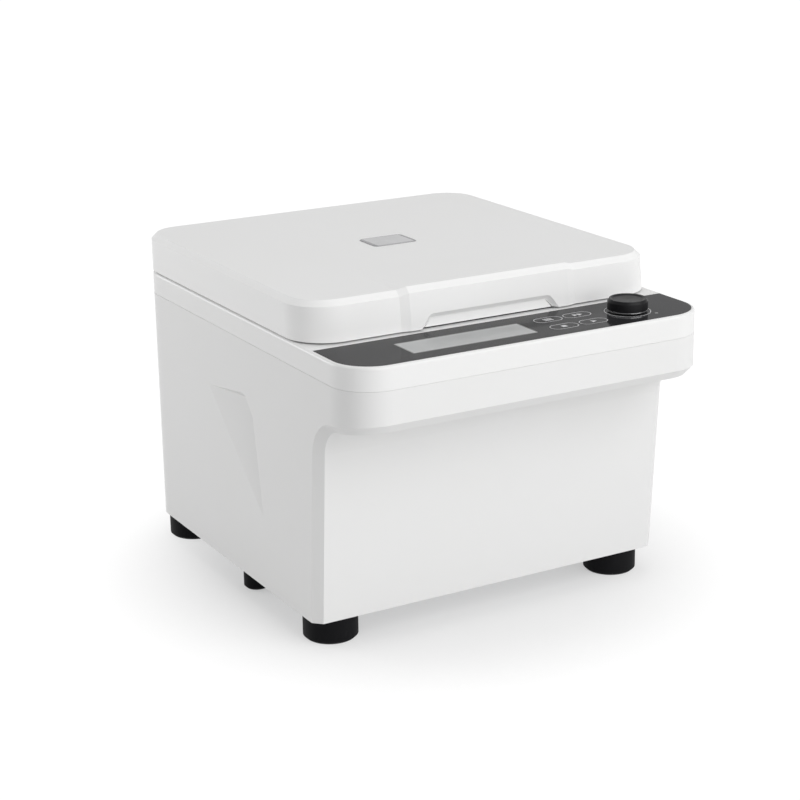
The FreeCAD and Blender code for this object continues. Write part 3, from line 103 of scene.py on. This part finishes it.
class Finish:
    """A material on one Principled shader, with its uniform sockets set by name."""

    def __init__(self, name, **uniform):
        self.material = bpy.data.materials.new(name)
        self.material.use_nodes = True
        tree = self.material.node_tree
        self.shader = tree.nodes["Principled BSDF"]
        for socket, value in uniform.items():
            self.shader.inputs[socket.replace("_", " ")].default_value = value
        self.start = Term(tree)
        self.place = self.start.node("ShaderNodeTexCoord", {}, "Object")

    def feed(self, socket, term):
        self.start.tree.links.new(term.socket, self.shader.inputs[socket])

    def noise(self, scale, detail=3.0):
        return self.start.node("ShaderNodeTexNoise", {
            "Vector": self.place, "Scale": scale, "Detail": detail})

    def between(self, dark, light, factor):
        return self.start.node("ShaderNodeMix", {0: factor, 6: (*dark, 1), 7: (*light, 1)}, 2,
                               data_type="RGBA")

    def relief(self, height, depth):
        bump = self.start.node("ShaderNodeBump", {"Height": height, "Distance": depth, "Strength": 1.0})
        self.feed("Normal", bump)


def dress(finish, *names):
    for name in names:
        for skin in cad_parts[name].material_slots:
            skin.material = finish.material


plated = Finish("plated_sheet", Metallic=0.85, Specular_IOR_Level=0.5)
spangle = plated.start.node("ShaderNodeTexVoronoi", {"Vector": plated.place, "Scale": 160.0}, "Color")
grey = plated.start.node("ShaderNodeSeparateColor", {"Color": spangle}, "Red")
plated.feed("Base Color", plated.between((0.46, 0.47, 0.48), (0.53, 0.54, 0.55), grey))
plated.feed("Roughness", 0.38 + 0.06 * grey)
plated.relief(plated.noise(60.0), 0.00004)
dress(plated, "base_plate", "guard_ring", "motor_mount_plate")

# Screws
# Pan-headed steel screws with a cross recess. They hold the base plate to the housing's pads, the
# rear panel to its ledge and the liner to the lid, and neighbours don't stop at the same turn.

screw_steel = Finish("screw_steel", Metallic=1.0)
screw_tone = screw_steel.noise(400.0)
screw_steel.feed("Base Color", screw_steel.between((0.44, 0.44, 0.45), (0.60, 0.60, 0.61), screw_tone))
screw_steel.feed("Roughness", 0.28 + 0.16 * screw_tone)


def growth(name, **sizes):
    """A geometry tree with named sizes. Gives the tree and a term for each of its inputs."""
    tree = bpy.data.node_groups.new(name, "GeometryNodeTree")
    tree.interface.new_socket("Geometry", in_out="OUTPUT", socket_type="NodeSocketGeometry")
    tree.interface.new_socket("Geometry", in_out="INPUT", socket_type="NodeSocketGeometry")
    tree.interface.new_socket("Finish", in_out="INPUT", socket_type="NodeSocketMaterial")
    for label, value in sizes.items():
        kind = "NodeSocketInt" if isinstance(value, int) else "NodeSocketFloat"
        tree.interface.new_socket(label, in_out="INPUT", socket_type=kind).default_value = value
    entry = tree.nodes.new("NodeGroupInput")
    return tree, {socket.name: Term(tree, socket) for socket in entry.outputs if socket.name}


def end_growth(tree, inputs, copies):
    start = Term(tree)
    solid = start.node("GeometryNodeRealizeInstances", {"Geometry": copies})
    dressed = start.node("GeometryNodeSetMaterial", {"Geometry": solid, "Material": inputs["Finish"]})
    start.node("NodeGroupOutput", {"Geometry": dressed})


def grow(name, tree, finish, slot, body, spots, **sizes):
    """Grows the tree's copies on bare points, as a plain mesh that rides on a body."""
    bare = bpy.data.meshes.new(name + "_spots")
    bare.from_pydata([Vector(spot) for spot in spots], [], [])
    piece = bpy.data.objects.new(name, bare)
    bpy.context.collection.objects.link(piece)
    modifier = piece.modifiers.new("grow", "NODES")
    modifier.node_group = tree
    sizes["Finish"] = finish.material
    for item in tree.interface.items_tree:
        if item.in_out == "INPUT" and item.name in sizes:
            modifier[item.identifier] = sizes[item.name]
    ready = piece.evaluated_get(bpy.context.evaluated_depsgraph_get())
    solid = bpy.data.meshes.new_from_object(ready)
    piece.modifiers.clear()
    piece.data = solid
    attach(piece, body)
    return piece


arm_long, arm_wide, arm_deep, crown = 1.1, 0.22, 1.3, 0.84
screw_tree, ask = growth("cross_screw", HeadRadius=0.003, HeadHeight=0.0012, Tilt=0.0)
at = Term(screw_tree)
head = at.node("GeometryNodeMeshCone", {
    "Vertices": 28, "Radius Bottom": ask["HeadRadius"], "Radius Top": crown * ask["HeadRadius"],
    "Depth": ask["HeadHeight"]})
arms = [at.node("GeometryNodeMeshCube", {"Size": at.node("ShaderNodeCombineXYZ", {
    "X": along * ask["HeadRadius"], "Y": aside * ask["HeadRadius"], "Z": arm_deep * ask["HeadHeight"]})})
    for along, aside in ((arm_long, arm_wide), (arm_wide, arm_long))]
bit = at.node("GeometryNodeMeshBoolean", {"Mesh 2": arms[0]}, operation="UNION", solver="EXACT")
screw_tree.links.new(arms[1].socket, screw_tree.nodes["Mesh Boolean"].inputs["Mesh 2"])
bit_up = at.node("GeometryNodeTransform", {"Geometry": bit, "Translation": at.node(
    "ShaderNodeCombineXYZ", {"Z": ask["HeadHeight"]})})
cut_head = at.node("GeometryNodeMeshBoolean", {"Mesh 1": head, "Mesh 2": bit_up},
                   operation="DIFFERENCE", solver="EXACT")
screws = at.node("GeometryNodeInstanceOnPoints", {
    "Points": ask["Geometry"], "Instance": cut_head,
    "Rotation": at.node("ShaderNodeCombineXYZ", {"X": ask["Tilt"]})})
random_turn = at.node("FunctionNodeRandomValue", {2: 0.0, 3: 1.5, "Seed": 4}, 1, data_type="FLOAT")
end_growth(screw_tree, ask, at.node("GeometryNodeRotateInstances", {
    "Instances": screws, "Rotation": at.node("ShaderNodeCombineXYZ", {"Z": random_turn}),
    "Local Space": True}))

facing_down = math.pi
facing_back = -math.pi / 2
base_places = [(x, y, 0.0235) for x in (-0.148, 0.148) for y in (-0.062, 0.122)]
rear_places = [(x, 0.1958, z) for x in (-0.121, 0.121) for z in (0.045, 0.213)]
liner_places = [(x, y, 0.2522) for x in (-0.140, 0.140) for y in (-0.0875, 0.03325, 0.154)]
base_screws = grow("base_screw_heads", screw_tree, screw_steel, "screw_steel", "case", base_places,
                   Tilt=facing_down)
rear_screws = grow("rear_screw_heads", screw_tree, screw_steel, "screw_steel", "case", rear_places,
                   Tilt=facing_back)
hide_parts("case_screws")
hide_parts("case_screws")
lid_screws = grow("liner_screw_heads", screw_tree, screw_steel, "screw_steel", "lid", liner_places,
                  Tilt=facing_down)
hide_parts("lid_screws")

# Feet
# Four large rubber feet and a small one under the middle of each side, pressed on from below. The
# rubber is black and slightly bloomed, and the motor's dampers and boot are cast in it too.

rubber = Finish("foot_rubber", Specular_IOR_Level=0.1)
dust = rubber.noise(45.0, 5.0)
rubber.feed("Base Color", rubber.between((0.003, 0.003, 0.004), (0.008, 0.008, 0.009), dust))
rubber.feed("Roughness", 0.50 + 0.25 * dust)
rubber.relief(rubber.noise(1500.0, 2.0), 0.00003)
dress(rubber, "foot_front_left", "foot_front_right", "foot_rear_left", "foot_rear_right",
      "centre_feet", "motor_dampers", "shaft_boot")

# Lower housing
# One thick-walled moulding in white plastic, with a leaning front, a bevelled console above it and a
# scoop in each side to lift it by. Its outside has the fine, even grain of an etched mould.


def white_moulding(name, tone, roughness, grain):
    made = Finish(name, Coat_Weight=0.03, Coat_Roughness=0.3, Specular_IOR_Level=0.28)
    cloud = made.noise(9.0, 4.0)
    warm = (tone * 0.985, tone * 0.985, tone * 0.975)
    made.feed("Base Color", made.between(warm, (tone, tone, tone * 1.002), cloud))
    fine = made.noise(grain, 2.0)
    made.feed("Roughness", roughness + 0.06 * (cloud - 0.5) + 0.05 * (fine - 0.5))
    made.relief(fine, 0.00001)
    return made


dress(white_moulding("case_white", tone=0.81, roughness=0.42, grain=2600.0), "lower_housing")

# Rear panel
# Steel sheet with vents cut through it, painted dark like the motor's can and the lock's solenoid.
# The paint has a fine orange-peel skin.

painted = Finish("dark_paint", Coat_Weight=0.2)
peel = painted.noise(900.0, 1.0)
painted.feed("Base Color", painted.between((0.060, 0.061, 0.065), (0.085, 0.086, 0.090),
                                           painted.noise(14.0)))
painted.feed("Roughness", 0.42 + 0.12 * peel)
painted.relief(peel, 0.00003)
dress(painted, "rear_panel", "motor_housing", "lock_solenoid")

# Black fittings
# The mains inlet, the switch, the encoder, the display's holder and the lock's body are moulded in
# black glass-filled plastic with a dry, slightly mottled skin.

black_plastic = Finish("black_fitting", Specular_IOR_Level=0.4)
mottle = black_plastic.noise(220.0, 4.0)
black_plastic.feed("Base Color", black_plastic.between((0.018, 0.018, 0.019), (0.034, 0.034, 0.035),
                                                       mottle))
black_plastic.feed("Roughness", 0.38 + 0.2 * mottle)
black_plastic.relief(mottle, 0.00002)
dress(black_plastic, "power_inlet", "switch_frame", "power_rocker", "lock_body", "display_module",
      "encoder")

# Bowl and its gasket
# The bowl is spun from stainless sheet: the tool leaves fine rings about its axis, and the roughness
# follows them. A grey silicone gasket lies on its flange and meets the lid's liner.

bowl_low, bowl_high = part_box("chamber_bowl")
bowl_middle = (bowl_low + bowl_high) / 2


def turned_metal(name, dark, light, roughness, pitch):
    made = Finish(name, Metallic=1.0)
    moved = made.start.node("ShaderNodeMapping", {
        "Vector": made.place, "Location": (-bowl_middle.x, -bowl_middle.y, 0)})
    rings = made.start.node("ShaderNodeTexWave", {
        "Vector": moved, "Scale": pitch, "Distortion": 1.2, "Detail": 2.0, "Detail Scale": 3.0},
        "Fac", wave_type="RINGS", rings_direction="Z")
    made.feed("Base Color", made.between(dark, light, rings))
    made.feed("Roughness", roughness + 0.10 * rings)
    made.relief(rings, 0.000006)
    return made


spun = turned_metal("spun_steel", (0.50, 0.51, 0.52), (0.66, 0.67, 0.68), roughness=0.22, pitch=420.0)
dress(spun, "chamber_bowl")

silicone = Finish("seal_rubber", Specular_IOR_Level=0.3)
silicone.feed("Base Color", silicone.between((0.26, 0.26, 0.27), (0.34, 0.34, 0.35), silicone.noise(60.0)))
silicone.feed("Roughness", 0.55 + 0.15 * silicone.noise(400.0))
dress(silicone, "bowl_gasket")

# Motor
# An upright induction motor on rubber dampers. Its shaft and bearings are machined steel, like the
# hinge's brackets, the lock's bolt and the striker. The armature is wound with enamelled wire, whose
# layers show as fine bands.

machined = turned_metal("machined_steel", (0.48, 0.48, 0.49), (0.60, 0.60, 0.61), roughness=0.26,
                        pitch=380.0)
dress(machined, "drive_shaft", "motor_bearings", "hinge_brackets", "lock_bolt", "lid_striker")

wound = Finish("wound_core", Metallic=0.7)
layers = wound.start.node("ShaderNodeTexWave", {"Vector": wound.place, "Scale": 600.0}, "Fac",
                          bands_direction="Z")
wound.feed("Base Color", wound.between((0.30, 0.14, 0.06), (0.50, 0.27, 0.13), layers))
wound.feed("Roughness", 0.35 + 0.15 * layers)
dress(wound, "motor_armature")

# Rotor
# A dished alloy plate, turned and anodised grey, with six seats. Bright sleeves hang in them, and a
# domed nut holds the plate down on the motor's shaft. The motor's end caps have the same grey finish.

anodised = turned_metal("anodised_alloy", (0.25, 0.27, 0.30), (0.32, 0.34, 0.37), roughness=0.30,
                        pitch=300.0)
dress(anodised, "rotor_body", "rotor_nut", "motor_end_caps")
bright = turned_metal("bright_alloy", (0.60, 0.61, 0.63), (0.72, 0.73, 0.75), roughness=0.24,
                      pitch=500.0)
places = range(6)
dress(bright, *["tube_sleeve_%d" % (n + 1) for n in places])

# Nut knurl
# The rotor nut is tightened by hand, so its upper part carries a straight knurl: a ring of fine
# upright ridges rolled into the metal.

nut_low, nut_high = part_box("rotor_nut")
knurl_drop = 0.0056
knurl_tree, ask = growth("straight_knurl", Ridges=44, Radius=0.0109, Ridge=0.0007, Length=0.0072)
at = Term(knurl_tree)
turn_step = at.node("GeometryNodeInputIndex", {}) * (2 * math.pi / ask["Ridges"])
ring = at.node("GeometryNodeMeshCircle", {"Vertices": ask["Ridges"], "Radius": ask["Radius"]})
ridge = at.node("GeometryNodeMeshCylinder", {
    "Vertices": 4, "Radius": ask["Ridge"], "Depth": ask["Length"]})
ridges = at.node("GeometryNodeInstanceOnPoints", {
    "Points": ring, "Instance": ridge, "Rotation": at.node("ShaderNodeCombineXYZ", {"Z": turn_step})})
end_growth(knurl_tree, ask, at.node("GeometryNodeInstanceOnPoints", {
    "Points": ask["Geometry"], "Instance": ridges}))
grow("nut_knurl", knurl_tree, anodised, "rotor_alloy", "rotor",
     [((nut_low.x + nut_high.x) / 2, (nut_low.y + nut_high.y) / 2, nut_high.z - knurl_drop)])

# Place numbers
# Each tube place is numbered on the rotor's dish, so that tubes can be loaded in opposite pairs. The
# figures are printed in white and face outwards.

print_white = Finish("print_white", Specular_IOR_Level=0.3)
ink = print_white.noise(900.0, 2.0)
print_white.feed("Base Color", print_white.between((0.62, 0.62, 0.63), (0.78, 0.78, 0.79), ink))
print_white.feed("Roughness", 0.45 + 0.15 * ink)

hub = Vector((bowl_middle.x, bowl_middle.y, 0.193))
dish_foot = 0.024
lean = math.radians(35)
figure_size = 0.0085
figure_lift = 0.00006
first_place, place_step = 30, 60
for n in places:
    figure = bpy.data.curves.new("place_figure", "FONT")
    figure.body = str(n + 1)
    figure.size = figure_size
    figure.align_x = "CENTER"
    figure.align_y = "CENTER"
    figure.extrude = 0.00004
    figure.resolution_u = 3
    held = bpy.data.objects.new("place_number_%d" % (n + 1), figure)
    bpy.context.collection.objects.link(held)
    flat = bpy.data.meshes.new_from_object(held.evaluated_get(bpy.context.evaluated_depsgraph_get()))
    bpy.data.objects.remove(held)
    turn = math.radians(first_place + place_step * n)
    outward = Vector((math.cos(turn), math.sin(turn), 0))
    climb = outward * math.cos(lean) + Vector((0, 0, math.sin(lean)))
    across = Vector((math.sin(turn), -math.cos(turn), 0))
    face_up = across.cross(climb)
    spot = hub + outward * dish_foot + climb * figure_size + face_up * figure_lift
    flat.transform(Matrix.Translation(spot) @ Matrix((across, climb, face_up)).transposed().to_4x4())
    flat.materials.clear()
    flat.materials.append(print_white.material)
    number = bpy.data.objects.new("place_number_%d" % (n + 1), flat)
    bpy.context.collection.objects.link(number)
    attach(number, "rotor")

# Boards
# Printed boards in glass-fibre sheet, with green solder mask over copper tracks. The control board
# hangs from posts under the console, and the power board stands inside the left wall.

mask_green = Finish("solder_mask", Specular_IOR_Level=0.5)
tracks = mask_green.start.node("ShaderNodeTexVoronoi", {"Vector": mask_green.place, "Scale": 260.0},
                               "Distance")
mask_green.feed("Base Color", mask_green.between((0.010, 0.085, 0.035), (0.030, 0.17, 0.075), tracks))
mask_green.feed("Roughness", 0.28 + 0.2 * tracks)
dress(mask_green, "control_board", "power_board")

# Upper frame
# A second moulding closes the case: the deck around the bowl, the console's top and a skirt that
# meets the housing at a fine seam. Its surface is smoother than the housing's.

dress(white_moulding("frame_white", tone=0.85, roughness=0.36, grain=3200.0), "upper_frame")

# Membrane panel
# A rigid dark sheet with a glossy film over it, let into the frame so that a thin white rim is left
# around it. The keys' caps carry the same film.

film = Finish("panel_film", Specular_IOR_Level=0.06)
smudge = film.noise(16.0, 4.0)
film.feed("Base Color", film.between((0.022, 0.022, 0.024), (0.030, 0.030, 0.032), smudge))
film.feed("Roughness", 0.07 + 0.05 * smudge)
film.relief(film.noise(700.0, 1.0), 0.000002)
dress(film, "membrane_panel", "key_front_left", "key_front_right", "key_rear_left", "key_rear_right")

# Key lines and signs
# Each key is ringed by a thin printed line and carries a plain sign: a square to stop, a triangle to
# start, bars for the list and a double triangle to run on. A printed circle marks the knob's place.

line_tree, ask = growth("ringed_key", Length=0.025, Width=0.013, Line=0.0006, Thick=0.00004)
at = Term(line_tree)
run = at.node("GeometryNodeCurvePrimitiveQuadrilateral", {"Width": ask["Length"], "Height": ask["Width"]})
pill = at.node("GeometryNodeFilletCurve", {
    "Curve": run, "Count": 24, "Radius": 0.4999 * ask["Width"]}, mode="POLY")
strip = at.node("GeometryNodeCurvePrimitiveQuadrilateral", {"Width": ask["Line"], "Height": ask["Thick"]})
ringed = at.node("GeometryNodeCurveToMesh", {
    "Curve": at.node("GeometryNodeSetCurveNormal", {"Curve": pill}, mode="Z_UP"), "Profile Curve": strip})
end_growth(line_tree, ask, at.node("GeometryNodeInstanceOnPoints", {
    "Points": ask["Geometry"], "Instance": ringed}))

sign_tree, ask = growth("key_sign", Sides=4, Copies=1, Radius=0.002, Turn=0.0, Stretch=1.0,
                        StepX=0.0, StepY=0.0, Thick=0.00004)
at = Term(sign_tree)
shape = at.node("GeometryNodeMeshCylinder", {
    "Vertices": ask["Sides"], "Radius": ask["Radius"], "Depth": ask["Thick"]})
turned = at.node("GeometryNodeTransform", {
    "Geometry": shape, "Rotation": at.node("ShaderNodeCombineXYZ", {"Z": ask["Turn"]})})
wide = at.node("GeometryNodeTransform", {
    "Geometry": turned, "Scale": at.node("ShaderNodeCombineXYZ", {"X": ask["Stretch"], "Y": 1.0, "Z": 1.0})})
half_run = (ask["Copies"] - 1) * -0.5
row = at.node("GeometryNodeMeshLine", {
    "Count": ask["Copies"],
    "Start Location": at.node("ShaderNodeCombineXYZ", {
        "X": half_run * ask["StepX"], "Y": half_run * ask["StepY"]}),
    "Offset": at.node("ShaderNodeCombineXYZ", {"X": ask["StepX"], "Y": ask["StepY"]})})
signs = at.node("GeometryNodeInstanceOnPoints", {"Points": row, "Instance": wide})
end_growth(sign_tree, ask, at.node("GeometryNodeInstanceOnPoints", {
    "Points": ask["Geometry"], "Instance": signs}))

line_lift = 0.00003
square = math.pi / 4
key_signs = {
    "key_front_left": {"Sides": 4, "Turn": square, "Radius": 0.0031},
    "key_front_right": {"Sides": 3, "Radius": 0.0031},
    "key_rear_left": {"Sides": 4, "Copies": 3, "Turn": square, "Radius": 0.0008, "Stretch": 7.0,
                      "StepY": 0.0021},
    "key_rear_right": {"Sides": 3, "Copies": 2, "Radius": 0.0029, "StepX": 0.0044}}
for key, sign in key_signs.items():
    key_low, key_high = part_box(key)
    key_top = ((key_low.x + key_high.x) / 2, (key_low.y + key_high.y) / 2, key_high.z + line_lift)
    grow(key + "_line", line_tree, print_white, "case_white", key, [key_top],
         Length=0.0246, Width=0.0126)
    grow(key + "_sign", sign_tree, print_white, "case_white", key, [key_top], **sign)

cap_low, cap_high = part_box("control_knob")
film_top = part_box("membrane_panel")[1].z
knob_spot = ((cap_low.x + cap_high.x) / 2, (cap_low.y + cap_high.y) / 2, film_top + line_lift)
grow("knob_circle", line_tree, print_white, "case_white", "case", [knob_spot],
     Length=0.0372, Width=0.0371)

# Display
# A clear window flush with the film, over a pale grey liquid-crystal cell. The cell is blank. A
# darker band round its edge, where it runs under the film, is painted shade.

window_low, window_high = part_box("lcd_window")
window_middle = (window_low + window_high) / 2
painted_shade_band = 0.0012
cell = Finish("display_window", Specular_IOR_Level=0.5, Coat_Weight=0.3, Coat_Roughness=0.03)
x, y = (cell.start.node("ShaderNodeSeparateXYZ", {"Vector": cell.place}, n) for n in range(2))
# Within a narrow band of the window's edges the colour turns to a flat dark grey: painted shade.
beside = abs(x - window_middle.x) > (window_high.x - window_low.x) / 2 - painted_shade_band
beyond = abs(y - window_middle.y) > (window_high.y - window_low.y) / 2 - painted_shade_band
in_painted_shade = cell.start.maths("MAXIMUM", beside, beyond)
weave = cell.noise(30.0, 2.0)
inner_tone = cell.between((0.36, 0.37, 0.37), (0.43, 0.44, 0.44), weave)
cell.feed("Base Color", cell.start.node(
    "ShaderNodeMix", {0: in_painted_shade, 6: inner_tone, 7: (0.20, 0.20, 0.20, 1)}, 2, data_type="RGBA"))
cell.feed("Roughness", 0.16 + 0.06 * weave)
dress(cell, "lcd_window")

# Status light
# A clear acrylic lens, moulded in one with the rod that stands on the control board. It fills a hole
# through the frame and the film near the console's right end.

lens = Finish("clear_lens", Specular_IOR_Level=0.5, Coat_Weight=0.5)
lens.feed("Base Color", lens.between((0.16, 0.16, 0.16), (0.24, 0.24, 0.24), lens.noise(500.0)))
lens.feed("Roughness", 0.12 + 0.1 * lens.noise(800.0))
dress(lens, "status_led")

# Knob
# A turned black cap with a dished top and a bevelled edge, on a thin ring. Both are pushed onto the
# encoder's spindle. The ring, the spindle and the hinge's pins are polished metal.

knob_black = Finish("knob_black", Specular_IOR_Level=0.18)
knob_grain = knob_black.noise(1800.0, 2.0)
knob_black.feed("Base Color", knob_black.between((0.005, 0.005, 0.006), (0.010, 0.010, 0.011),
                                                 knob_black.noise(40.0)))
knob_black.feed("Roughness", 0.30 + 0.10 * knob_grain)
knob_black.relief(knob_grain, 0.00001)
dress(knob_black, "control_knob")

polished = Finish("polished_metal", Metallic=1.0)
polish = polished.noise(120.0)
polished.feed("Base Color", polished.between((0.72, 0.72, 0.73), (0.82, 0.82, 0.83), polish))
polished.feed("Roughness", 0.14 + 0.10 * polish)
dress(polished, "knob_ring", "encoder_shaft", "hinge_pins")

# Lid
# A hollow moulding in white plastic, the whitest of the three, with a raised band down its middle and
# a notch for the fingers. A separate insert lines the notch, and a black seal runs round under the rim,
# whose black also stands in as painted shade for the gap under the lid.

dress(white_moulding("lid_white", tone=0.90, roughness=0.42, grain=3600.0), "lid_shell", "grip_insert")
# The seal is black rubber, and its black also serves as painted shade in the gap under the lid.
dress(rubber, "lid_seal")

# Lid liner
# Stainless sheet with a brushed finish, screwed to the lid's bosses. The brushing runs from side to
# side, so the noise behind it is drawn out along X.

brushed = Finish("brushed_sheet", Metallic=1.0)
drawn_out = brushed.start.node("ShaderNodeMapping", {"Vector": brushed.place, "Scale": (14.0, 900.0, 900.0)})
strokes = brushed.start.node("ShaderNodeTexNoise", {"Vector": drawn_out, "Scale": 1.0, "Detail": 3.0})
brushed.feed("Base Color", brushed.between((0.54, 0.55, 0.56), (0.66, 0.67, 0.68), strokes))
brushed.feed("Roughness", 0.30 + 0.14 * strokes)
brushed.relief(strokes, 0.000008)
dress(brushed, "lid_liner")

# Sight window
# A small pane of smoked plastic with a bevelled edge, let into the lid so that it stands just proud.
# A second pane closes the liner under it, so looking in shows only grey.

smoked = Finish("smoked_pane", Specular_IOR_Level=0.6, Coat_Weight=0.4, Coat_Roughness=0.04)
pane_low, pane_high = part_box("sight_window")
pane_middle = (pane_low + pane_high) / 2
bevel_across, bevel_along = 0.0032, 0.0018
haze = smoked.noise(90.0, 3.0)
x, y = (smoked.start.node("ShaderNodeSeparateXYZ", {"Vector": smoked.place}, n) for n in range(2))
# The bevels are coloured darker than the pane: painted shade, full on the left and right bevels and at 0.6
# on the front and rear ones.
side_bevel_shade = abs(x - pane_middle.x) > (pane_high.x - pane_low.x) / 2 - bevel_across
front_rear_bevel_shade = abs(y - pane_middle.y) > (pane_high.y - pane_low.y) / 2 - bevel_along
clear_grey = smoked.between((0.50, 0.50, 0.51), (0.66, 0.66, 0.67), haze)
smoked.feed("Base Color", smoked.start.node("ShaderNodeMix", {
    0: smoked.start.maths("MAXIMUM", side_bevel_shade, 0.6 * front_rear_bevel_shade), 6: clear_grey,
    7: (0.27, 0.27, 0.28, 1)}, 2, data_type="RGBA"))
smoked.feed("Roughness", 0.10 + 0.08 * haze)
dress(smoked, "sight_window", "inner_window")

# Floor and surround
# A white sweep. The floor keeps the soft shadow under the case and runs out to plain white, and an
# even white surround lights the object from all round.

floor_mesh = bpy.data.meshes.new("floor")
reach = 6.0
floor_mesh.from_pydata([(-reach, -reach, 0), (reach, -reach, 0), (reach, reach, 0), (-reach, reach, 0)],
                       [], [(0, 1, 2, 3)])
floor = bpy.data.objects.new("floor", floor_mesh)
bpy.context.collection.objects.link(floor)
paper = bpy.data.materials.new("floor_paper")
paper.use_nodes = True
paper.node_tree.nodes.clear()
shade = Term(paper.node_tree)
sight = shade.node("ShaderNodeLightPath", {}, "Is Camera Ray")
mirror_ray = shade.node("ShaderNodeLightPath", {}, "Is Glossy Ray")
matt = shade.node("ShaderNodeBsdfDiffuse", {"Color": (0.80, 0.80, 0.80, 1)})
glow = shade.node("ShaderNodeEmission", {"Color": (1, 1, 1, 1), "Strength": 1.06})
away = shade.node("ShaderNodeVectorMath", {0: shade.node("ShaderNodeTexCoord", {}, "Object")}, "Value",
                  operation="LENGTH")
run_out = shade.node("ShaderNodeMapRange", {"Value": away, "From Min": 0.14, "From Max": 0.33,
                                            "To Min": 0.42, "To Max": 1.0}, interpolation_type="SMOOTHSTEP")
shade.node("ShaderNodeOutputMaterial", {"Surface": shade.node("ShaderNodeMixShader", {
    0: run_out * sight.maths("MAXIMUM", sight, mirror_ray), 1: matt, 2: glow})})
floor_mesh.materials.append(paper)

world = bpy.data.worlds.new("surround")
bpy.context.scene.world = world
world.use_nodes = True
world.node_tree.nodes.clear()
air = Term(world.node_tree)
seen, mirrored, through = (air.node("ShaderNodeLightPath", {}, "Is %s Ray" % kind)
                           for kind in ("Camera", "Glossy", "Transmission"))
air.node("ShaderNodeOutputWorld", {"Surface": air.node("ShaderNodeBackground", {
    "Color": (1, 1, 1, 1),
    "Strength": 0.36 + 0.64 * seen.maths("MAXIMUM", seen, through) + 0.3 * mirrored})})

# Lights
# Three large soft boxes: one in front and above, a weaker one low behind on the left that shapes the
# side wall and the scoop, and a faint one overhead for the lid.

case_middle = Vector((0, 0, 0.15))


def soft_light(name, spot, width, power):
    lamp = bpy.data.lights.new(name, "AREA")
    lamp.shape = "SQUARE"
    lamp.size = width
    lamp.energy = power
    made = bpy.data.objects.new(name, lamp)
    made.location = spot
    made.rotation_euler = (case_middle - Vector(spot)).to_track_quat("-Z", "Y").to_euler()
    bpy.context.collection.objects.link(made)


soft_light("front_light", (0.9, -2.8, 1.7), width=3.8, power=87.0)
soft_light("side_light", (-1.9, 2.5, 0.7), width=1.4, power=38.0)
soft_light("top_light", (0.2, 0.5, 3.0), width=1.6, power=14.0)

# Camera
# It looks down on the front left corner from the photograph's distance. Its place, its turns and its
# lens were worked out from the case's corners and edges in the photograph.

camera_place = (-0.7992, -1.3939, 0.6524)
turn, dip, roll = math.radians(29.41), math.radians(17.39), math.radians(-0.85)
ahead = Vector((math.sin(turn) * math.cos(dip), math.cos(turn) * math.cos(dip), -math.sin(dip)))
level = Vector((math.cos(turn), -math.sin(turn), 0))
upward = level.cross(ahead)
right = level * math.cos(roll) + upward * math.sin(roll)
up = upward * math.cos(roll) - level * math.sin(roll)
camera_data = bpy.data.cameras.new("camera")
camera_data.sensor_width = 36.0
camera_data.lens = 87.63
camera = bpy.data.objects.new("camera", camera_data)
camera_turn = Matrix((right, up, -ahead)).transposed().to_4x4()
camera.matrix_world = Matrix.Translation(camera_place) @ camera_turn
bpy.context.collection.objects.link(camera)
bpy.context.scene.camera = camera
bpy.context.scene.view_settings.view_transform = "Standard"
